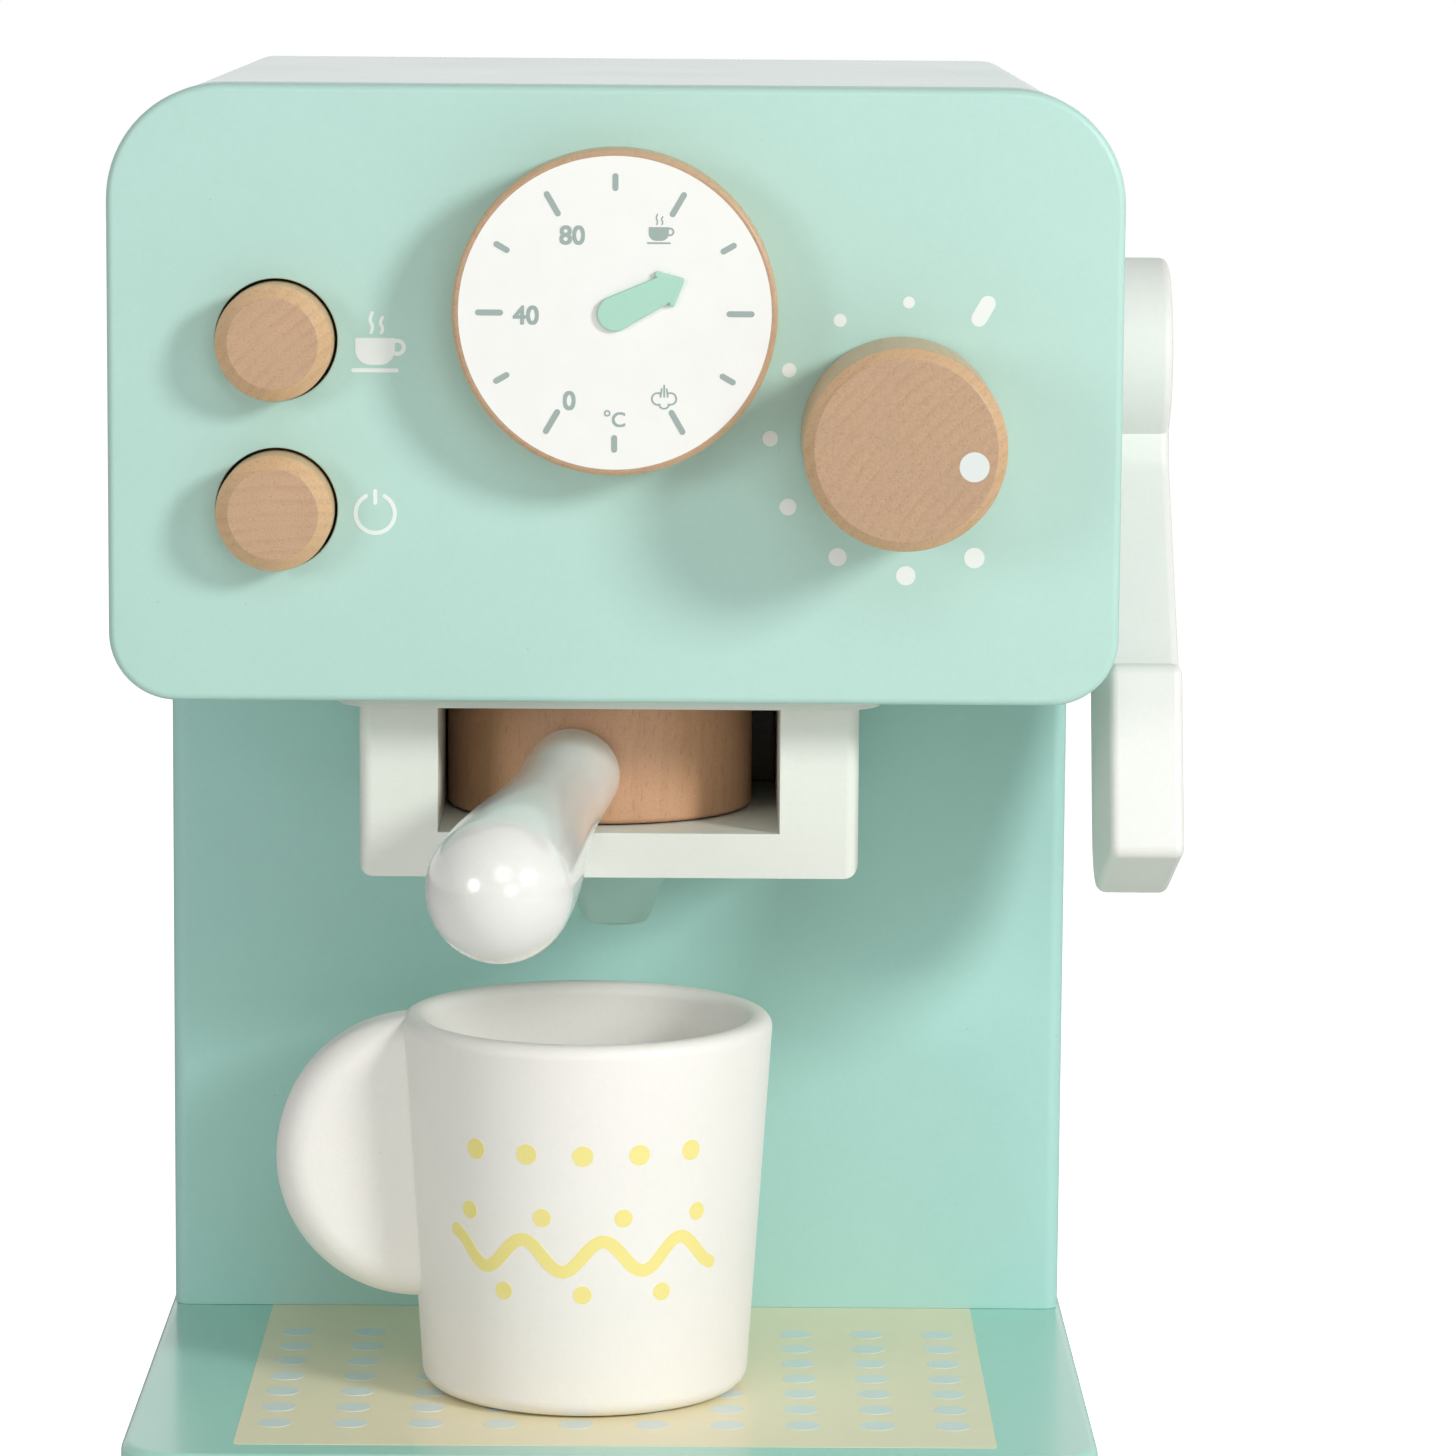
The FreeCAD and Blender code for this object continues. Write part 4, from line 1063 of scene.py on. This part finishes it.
class TOY_OT_push_buttons(bpy.types.Operator):
    """The two turned beech push buttons"""

    bl_idname = "toy.push_buttons"
    bl_label = "Push buttons"

    def execute(self, context):
        turnery = context.scene.toy_turnery
        chamfer, sanded = turnery.button_chamfer, turnery.sanded
        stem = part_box("guide_screws")[1].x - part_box("guide_screws")[0].x
        for name, pith, tone in (("brew", (28, -30), 0.97), ("power", (4, -50), 0.98)):
            node = name + "_button"
            low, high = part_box(node)
            radius = (high.x - low.x) / 2
            long = high.y - low.y
            back = high.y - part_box(node + "_collar")[0].y
            profile = softened([
                (0, 0, 0), (stem, 0, 0), (stem, back, 0), (radius, back, 0),
                (radius, long - chamfer, 2 * sanded), (radius - chamfer, long, sanded), (0, long, 0),
            ], steps=4)
            piece = lathed("turned_" + node, node, profile)
            wood = beech(node + "_beech", middle(node), fibre=1, pith=pith, tone=tone)
            dressed(piece, wood, node + "_unit", "natural_beech", node)
            self.spring(name, turnery)
        return {"FINISHED"}

    def spring(self, name, turnery):
        """A copy of the coil spring, which moves with its button."""
        node = name + "_button_spring"
        coil = frame["nodes"][node].copy()
        coil.data = coil.data.copy()
        coil.name = name + "_coil"
        bpy.context.scene.collection.objects.link(coil)
        alone(coil)
        bpy.ops.object.parent_clear(type="CLEAR_KEEP_TRANSFORM")
        settled(coil)
        edit(coil)
        healed()
        dressed(coil, bright_steel(name + "_coil_wire", (0.45, 0.46, 0.48)),
                name + "_button_unit", "spring_steel", node)
        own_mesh(coil)


class TOY_OT_control_knob(bpy.types.Operator):
    """The turned beech knob with its white dot"""

    bl_idname = "toy.control_knob"
    bl_label = "Control knob"

    def execute(self, context):
        scene = context.scene
        turnery = scene.toy_turnery
        low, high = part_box("control_knob")
        centre = middle("control_knob")
        radius = (high.x - low.x) / 2
        long = high.y - low.y
        chamfer, sanded = turnery.knob_chamfer, turnery.sanded
        profile = softened([(0, 0, 0), (radius, 0, sanded), (radius, long - chamfer, 2 * sanded),
                            (radius - chamfer, long, sanded), (0, long, 0)], steps=4)
        knob = lathed("turned_knob", "control_knob", profile, 128)
        wood = beech("knob_beech", centre, fibre=1, pith=(50, -45), tone=0.88)
        dressed(knob, wood, "knob_unit", "natural_beech", "control_knob")
        dot = upright(ink_disc(0, 0, turnery.mark), centre.x + turnery.mark_across, low.y,
                      centre.z - turnery.mark_down)
        dot.name = "knob_mark_print"
        ink = inked("knob_ink", tinted(scene.toy_paints.print_white, 0.86))
        dressed(dot, ink, "knob_unit", "white_paint")
        return {"FINISHED"}


class TOY_OT_side_lever(bpy.types.Operator):
    """The white side lever, swung a little forward"""

    bl_idname = "toy.side_lever"
    bl_label = "Side lever"

    def execute(self, context):
        lever = context.scene.toy_lever
        low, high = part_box("side_lever")
        axle = middle("lever_washer")
        start = math.sqrt(lever.head ** 2 - lever.neck ** 2)
        lean = math.asin(lever.neck / lever.head)
        outline = softened([
            (lever.neck, -start, 0), (lever.neck, -lever.neck_end, lever.neck_bend),
            (lever.grip_back, -lever.back_flare_end, lever.back_flare_round),
            (lever.grip_back, -lever.reach, lever.back_corner),
            (-lever.grip_front, -lever.reach, lever.front_corner),
            (-lever.grip_front, -lever.shoulder, lever.shoulder_round),
            (-lever.flare, -lever.shoulder, 0),
            (-lever.neck, -lever.neck_end, lever.neck_bend), (-lever.neck, -start, 0),
        ], steps=10)
        outline += arc(lever.head, -QUARTER - lean, 2 * lean - 2 * math.pi, 48)[1:-1]
        piece = slab("painted_lever", outline, high.x - low.x, lever.edge, 5)
        matrix = Matrix.Rotation(QUARTER, 3, "Z") @ Matrix.Rotation(QUARTER, 3, "X")
        swung = Matrix.Rotation(-lever.swing, 3, "X") @ matrix
        piece.rotation_euler = swung.to_euler()
        piece.location = (low.x, axle.y, axle.z)
        settled(piece)
        paint = sprayed("lever_paint", context.scene.toy_paints.white, 0.45, grain=2, texture=0.9)
        dressed(piece, paint, "lever_unit", "white_paint", "side_lever")
        return {"FINISHED"}


class TOY_OT_group(bpy.types.Operator):
    """The plate, the slotted frame, its back stop and the nozzle under the head"""

    bl_idname = "toy.group"
    bl_label = "Group frame"

    def execute(self, context):
        scene = context.scene
        edges = scene.toy_edges
        # The plate and frame get the darker white: painted shade under the head.
        paint = sprayed("group_paint", scene.toy_paints.group_white_painted_shade, 0.46, grain=0, texture=0.9)
        low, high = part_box("group_plate")
        plate = block("painted_group_plate", low, high)
        rounded(plate, runs_along(2), edges.plate_corner, 12)
        rounded(plate, lies_at(2, low.z), edges.seam, 2)
        dressed(plate, paint, "machine", "white_paint", "group_plate")
        low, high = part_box("group_frame")
        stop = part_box("frame_back_stop")
        piece = block("painted_group_frame", low, high)
        under = lies_at(2, low.z)
        rounded(piece, lambda edge: runs_along(2)(edge) or runs_along(1)(edge) and under(edge),
                edges.frame_corner, 6)
        slot = block("slot", Vector((stop[0].x, low.y - MM, stop[0].z)),
                     Vector((stop[1].x, high.y + MM, high.z + MM)))
        cut(piece, slot)

        def in_slot(edge):
            return all(stop[0].x - MM / 10 < point.x < stop[1].x + MM / 10
                       and point.z > stop[0].z - MM / 10 for point in ends(edge))
        rounded(piece, both(in_slot, lies_at(1, low.y, high.y)), edges.seam, 2)
        dressed(piece, paint, "machine", "white_paint", "group_frame")
        closing = rounded(block("back_stop_block", *stop), every, edges.seam, 2)
        # The back stop's beech is darkened to a fifth of its tone: painted shade for the deep slot
        # behind the portafilter.
        slot_shade_beech = beech("back_stop_beech", (stop[0] + stop[1]) / 2, fibre=0, pith=(20, 50), tone=0.2)
        dressed(closing, slot_shade_beech, "machine", "natural_beech", "frame_back_stop")
        self.nozzle(scene)
        return {"FINISHED"}

    def nozzle(self, scene):
        low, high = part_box("nozzle")
        centre = middle("nozzle")
        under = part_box("group_frame")[0].z
        top, tip = (high.x - low.x) / 2, scene.toy_turnery.nozzle_tip / 2
        long = under - low.z
        profile = softened([(0, 0, 0), (top, 0, 0), (tip, long, MM), (0, long, 0)])
        piece = turned("painted_nozzle", profile, Vector((centre.x, centre.y, under)), -UP)
        dressed(piece, sprayed("nozzle_paint", scene.toy_paints.pale_mint, 0.4), "machine",
                "pale_mint_paint", "nozzle")


class TOY_OT_portafilter(bpy.types.Operator):
    """The beech portafilter with its glossy white handle"""

    bl_idname = "toy.portafilter"
    bl_label = "Portafilter"

    def execute(self, context):
        scene = context.scene
        turnery = scene.toy_turnery
        low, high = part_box("portafilter_disc")
        centre = middle("portafilter_disc")
        radius = (high.x - low.x) / 2
        thick = high.z - low.z
        profile = softened([(0, 0, 0), (radius, 0, MM), (radius, thick, MM), (0, thick, 0)])
        foot = Vector((centre.x, centre.y, low.z))
        disc = turned("turned_portafilter", profile, foot, UP, 128)
        # Tone 0.7 and warmth 0.18 make the disc's beech darker and redder: painted shade from the head
        # that overhangs the disc.
        wood = beech("portafilter_beech", centre, fibre=2, pith=(20, 50), tone=0.7, warmth=0.18)
        dressed(disc, wood, "portafilter", "natural_beech", "portafilter_disc")
        self.handle(scene, centre, radius, turnery)
        return {"FINISHED"}

    def handle(self, scene, centre, radius, turnery):
        """A bat-shaped handle whose neck is let a little into the disc."""
        root = centre + Vector((0, 0, turnery.handle_rise))
        level = Vector((-math.sin(turnery.handle_turn), -math.cos(turnery.handle_turn), 0))
        direction = level * math.cos(turnery.handle_droop)
        direction.z = -math.sin(turnery.handle_droop)
        start = math.sqrt(radius ** 2 - turnery.neck ** 2)
        neck_end = radius + turnery.neck_length
        end = radius + turnery.handle
        ball = end - turnery.ball
        neck, chamfer = turnery.neck, 0.2 * turnery.neck
        profile = [(0, start), (neck - chamfer, start), (neck, start + chamfer), (neck, neck_end)]
        steps = 14
        for index in range(1, steps):
            share = index / steps
            swell = share * share * (3 - 2 * share)
            profile.append((neck + (turnery.ball - neck) * swell, neck_end + (ball - neck_end) * share))
        profile += arc(turnery.ball, 0, QUARTER, 16, up=ball)
        handle = turned("painted_handle", profile, root, direction, 80)
        paint = sprayed("handle_paint", scene.toy_paints.gloss_white, 0.2, texture=0.6, coat=0.6)
        dressed(handle, paint, "portafilter", "white_paint", "portafilter_handle")


class TOY_OT_cup(bpy.types.Operator):
    """The white cup with its solid ear and a printed pattern"""

    bl_idname = "toy.cup"
    bl_label = "Cup"

    def execute(self, context):
        scene = context.scene
        cup = scene.toy_cup
        low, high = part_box("cup_body")
        foot = Vector(((low.x + high.x) / 2, (low.y + high.y) / 2, low.z))
        rim = (high.y - low.y) / 2
        tall = high.z - low.z
        wall = [(0, 0, 0), (cup.foot, 0, cup.foot_round), (rim, tall, cup.lip / 2.2)]
        bowl = [(rim - cup.lip, tall, cup.lip / 2.2), (cup.inner_foot, cup.floor, cup.inner_round),
                (0, cup.floor, 0)]
        body = turned("painted_cup", softened(wall + bowl, steps=8), foot, UP, 144)
        paint = sprayed("cup_paint", scene.toy_paints.cup_white, 0.5, speck=0.25, texture=0.8)
        dressed(body, paint, "cup", "white_paint", "cup_body", sharp=50)
        self.ear(cup, foot, rim, tall, paint)
        self.pattern(scene, foot, rim, tall)
        return {"FINISHED"}

    def ear(self, cup, foot, rim, tall, paint):
        """A thick half-round ear with soft edges, cut to the cup's wall."""
        low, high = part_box("cup_ear")
        start = Vector((foot.x - cup.ear_across, low.y, foot.z + cup.ear_height))
        ear = pillar("painted_ear", cup.ear, start, BACK, high.y - low.y, 128)
        rounded(ear, lies_at(1, low.y, high.y), cup.ear_round, 10)
        sink, inset = 0.4 * MM, 3 * MM
        core = [(0, MM), (cup.foot - sink, MM), (rim - sink, tall - 2 * MM),
                (rim - inset, tall - sink), (rim - inset, 2 * tall), (0, 2 * tall)]
        cut(ear, turned("core", core, foot, UP, 144))
        dressed(ear, paint, "cup", "white_paint", "cup_ear", sharp=50)

    def pattern(self, scene, foot, rim, tall):
        """A wave between dots, in ink, wrapped round the cup's wall."""
        cup = scene.toy_cup
        reach = cup.pattern / 2
        steps = 40
        wave = []
        for index in range(steps + 1):
            across = -reach + cup.pattern * index / steps
            up = cup.wave_height + cup.wave_swing * math.sin(2 * math.pi * across / cup.wave_pitch)
            wave.append(Vector((across, up)))
        pieces = ink_line(wave, cup.stroke)
        beside, above = 2.4 * cup.wave_swing, 19 * MM
        for index in range(-3, 4):
            across = index * cup.wave_pitch / 2
            side = beside if index % 2 else -beside
            pieces.append(ink_disc(across, cup.wave_height + side, 0.7 * cup.stroke))
        for index in range(-2, 3):
            across = 0.7 * index * cup.wave_pitch
            pieces.append(ink_disc(across, cup.wave_height + above, 0.8 * cup.stroke))
        band = printed("cup_pattern_print", pieces)
        edit(band)
        bpy.ops.mesh.subdivide(number_cuts=1)
        close()
        for vertex in band.data.vertices:
            across, up, proud = vertex.co
            radius = cup.foot + (rim - cup.foot) * up / tall
            bearing = across / radius
            out = radius + proud
            vertex.co = foot + Vector((out * math.sin(bearing), -out * math.cos(bearing), up))
        dressed(band, inked("yellow_ink", scene.toy_paints.cup_yellow), "cup")


class TOY_OT_drip_tray(bpy.types.Operator):
    """The cream drip tray with rows of pale blue dots, printed on the base"""

    bl_idname = "toy.drip_tray"
    bl_label = "Drip tray"

    def execute(self, context):
        tray = context.scene.toy_tray
        prints = context.scene.toy_prints
        paints = context.scene.toy_paints
        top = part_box("base_board")[1].z
        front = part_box("base_board")[0].y + tray.front_margin
        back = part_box("column_front_board")[0].y
        outline = softened([(tray.left, front, MM), (tray.right, front, MM), (tray.right, back, 0),
                            (tray.left, back, 0)], closed=True)
        sheet = ink_shape(outline)
        sheet.name = "drip_tray_print"
        sheet.location.z = top
        settled(sheet)
        dressed(sheet, inked("cream_ink", paints.cream, 0.3), "machine")
        dots = []
        for column in range(tray.columns):
            for row in range(tray.rows):
                dots.append(ink_disc(tray.left + tray.first_left + column * tray.across,
                                     back - tray.first_back - row * tray.along, tray.dot / 2))
        field = joined("drip_dots_print", dots)
        field.location.z = top + prints.ink
        settled(field)
        dressed(field, inked("blue_ink", paints.dot_blue, 0.3), "machine")
        return {"FINISHED"}


class TOY_OT_inner_pieces(bpy.types.Operator):
    """Wood and steel on the pieces inside, and on the screws"""

    bl_idname = "toy.inner_pieces"
    bl_label = "Inner pieces"

    def execute(self, context):
        slots = {part["node"]: part["material_slot"] for part in frame["record"]["subparts"]}
        steel = bright_steel("screw_zinc", (0.62, 0.62, 0.64))
        spring = bright_steel("spring_wire", (0.45, 0.46, 0.48), 2)
        wood = beech("inner_beech", Vector((0, 0, 0)), pith=(40, 50))
        paint = sprayed("inner_mint_paint", context.scene.toy_paints.mint)
        white = sprayed("inner_white_paint", context.scene.toy_paints.white)
        finishes = {"screw_steel": steel, "spring_steel": spring, "natural_beech": wood,
                    "mint_paint": paint, "pale_mint_paint": paint, "white_paint": white}
        for name, node in frame["nodes"].items():
            node.data.materials.clear()
            node.data.materials.append(finishes[slots[name]])
        return {"FINISHED"}


class TOY_OT_stage(bpy.types.Operator):
    """The pale floor, the lamps, the surroundings and the camera"""

    bl_idname = "toy.stage"
    bl_label = "Stage"

    def execute(self, context):
        stage = context.scene.toy_stage
        self.floor(stage)
        self.surroundings(context.scene, stage)
        for name in ("key", "side", "top", "front"):
            toward = Vector(getattr(stage, name + "_from"))
            self.lamp(name + "_lamp", getattr(stage, name), getattr(stage, name + "_size"), toward)
        self.camera(context.scene, stage)
        return {"FINISHED"}

    def floor(self, stage):
        """A wide floor that looks white to the camera but keeps the shadow."""
        bpy.ops.mesh.primitive_plane_add(size=8)
        floor = bpy.context.object
        floor.name = "floor"
        finish = Finish("floor_paper", 0.9)
        cloud = finish.noise(200 * MM)
        finish.use("Base Color", finish.brighter(stage.floor, 0.985 + 0.02 * cloud))
        finish.use("Specular IOR Level", 0)
        seen = finish.node("ShaderNodeLightPath", {}, {}, "Is Camera Ray")
        glow = finish.node("ShaderNodeEmission", {},
                           {"Color": (1, 1, 1), "Strength": seen * stage.glow})
        paper = Number(finish, finish.shader.outputs[0])
        lit = finish.node("ShaderNodeAddShader", {}, {0: paper, 1: glow})
        finish.feed(finish.tree.nodes["Material Output"].inputs["Surface"], lit)
        floor.data.materials.append(finish.material)

    def surroundings(self, scene, stage):
        """White all round for the camera and for reflections, and a softer light on the object."""
        world = bpy.data.worlds.new("surroundings")
        scene.world = world
        world.use_nodes = True
        nodes = Nodes(world.node_tree)
        camera, glossy, through = (nodes.node("ShaderNodeLightPath", {}, {}, ray) for ray in
                                   ("Is Camera Ray", "Is Glossy Ray", "Is Transmission Ray"))
        clear = glossy.maths("MAXIMUM", camera.maths("MAXIMUM", camera, glossy), through)
        strength = nodes.node("ShaderNodeMapRange", {}, {0: clear, 3: stage.fill, 4: 1.0})
        ground = nodes.tree.nodes["Background"]
        nodes.feed(ground.inputs["Color"], (1, 1, 1))
        nodes.feed(ground.inputs["Strength"], strength)

    def lamp(self, name, power, width, toward):
        """A round soft light that looks at the head of the toy."""
        head = Vector((0, -60, 150)) * MM
        reach = 1300 * MM
        bpy.ops.object.light_add(type="AREA", location=head + toward.normalized() * reach)
        lamp = bpy.context.object
        lamp.name = name
        lamp.data.shape = "DISK"
        lamp.data.size = width
        lamp.data.energy = power
        lamp.rotation_euler = toward.to_track_quat("Z", "Y").to_euler()

    def camera(self, scene, stage):
        bpy.ops.object.camera_add(location=stage.eye)
        camera = bpy.context.object
        camera.name = "camera"
        camera.data.lens = stage.lens
        camera.data.sensor_width = 36
        camera.data.clip_start = 0.05
        forward = Vector((math.sin(stage.yaw) * math.cos(stage.pitch),
                          math.cos(stage.yaw) * math.cos(stage.pitch), -math.sin(stage.pitch)))
        level = forward.cross(UP).normalized()
        up = level.cross(forward)
        right = level * math.cos(stage.roll) + up * math.sin(stage.roll)
        top = up * math.cos(stage.roll) - level * math.sin(stage.roll)
        turn = Matrix((right, top, -forward)).transposed()
        camera.rotation_euler = turn.to_euler()
        scene.camera = camera


class TOY_PT_panel(bpy.types.Panel):
    """Lists the groups of pieces"""

    bl_idname = "TOY_PT_panel"
    bl_label = "Toy coffee maker"
    bl_space_type = "VIEW_3D"
    bl_region_type = "UI"
    bl_category = "Toy"

    def draw(self, context):
        for operator in OPERATORS:
            self.layout.operator(operator.bl_idname)
        for name, group in GROUPS.items():
            box = self.layout.box()
            box.label(text=group.__name__)
            values = getattr(context.scene, name)
            for value in group.__annotations__:
                box.prop(values, value)


GROUPS = {
    "toy_paints": ToyPaints, "toy_woods": ToyWoods, "toy_edges": ToyEdges, "toy_prints": ToyPrints,
    "toy_tray": ToyTray, "toy_turnery": ToyTurnery, "toy_cup": ToyCup, "toy_lever": ToyLever,
    "toy_stage": ToyStage,
}
OPERATORS = (
    TOY_OT_inner_pieces, TOY_OT_body_boards, TOY_OT_front_panel, TOY_OT_dial, TOY_OT_push_buttons,
    TOY_OT_control_knob, TOY_OT_side_lever, TOY_OT_group, TOY_OT_portafilter, TOY_OT_cup,
    TOY_OT_drip_tray, TOY_OT_stage,
)


def register():
    for group in (*GROUPS.values(), *OPERATORS, TOY_PT_panel):
        bpy.utils.register_class(group)
    for name, group in GROUPS.items():
        setattr(bpy.types.Scene, name, PointerProperty(type=group))


def unregister():
    for name in GROUPS:
        delattr(bpy.types.Scene, name)
    for group in (TOY_PT_panel, *OPERATORS, *GROUPS.values()):
        bpy.utils.unregister_class(group)


def main():
    register()
    bpy.context.scene.view_settings.view_transform = "Standard"
    for operator in OPERATORS:
        name = operator.bl_idname.split(".")[1]
        getattr(bpy.ops.toy, name)()


if __name__ == "__main__":
    main()
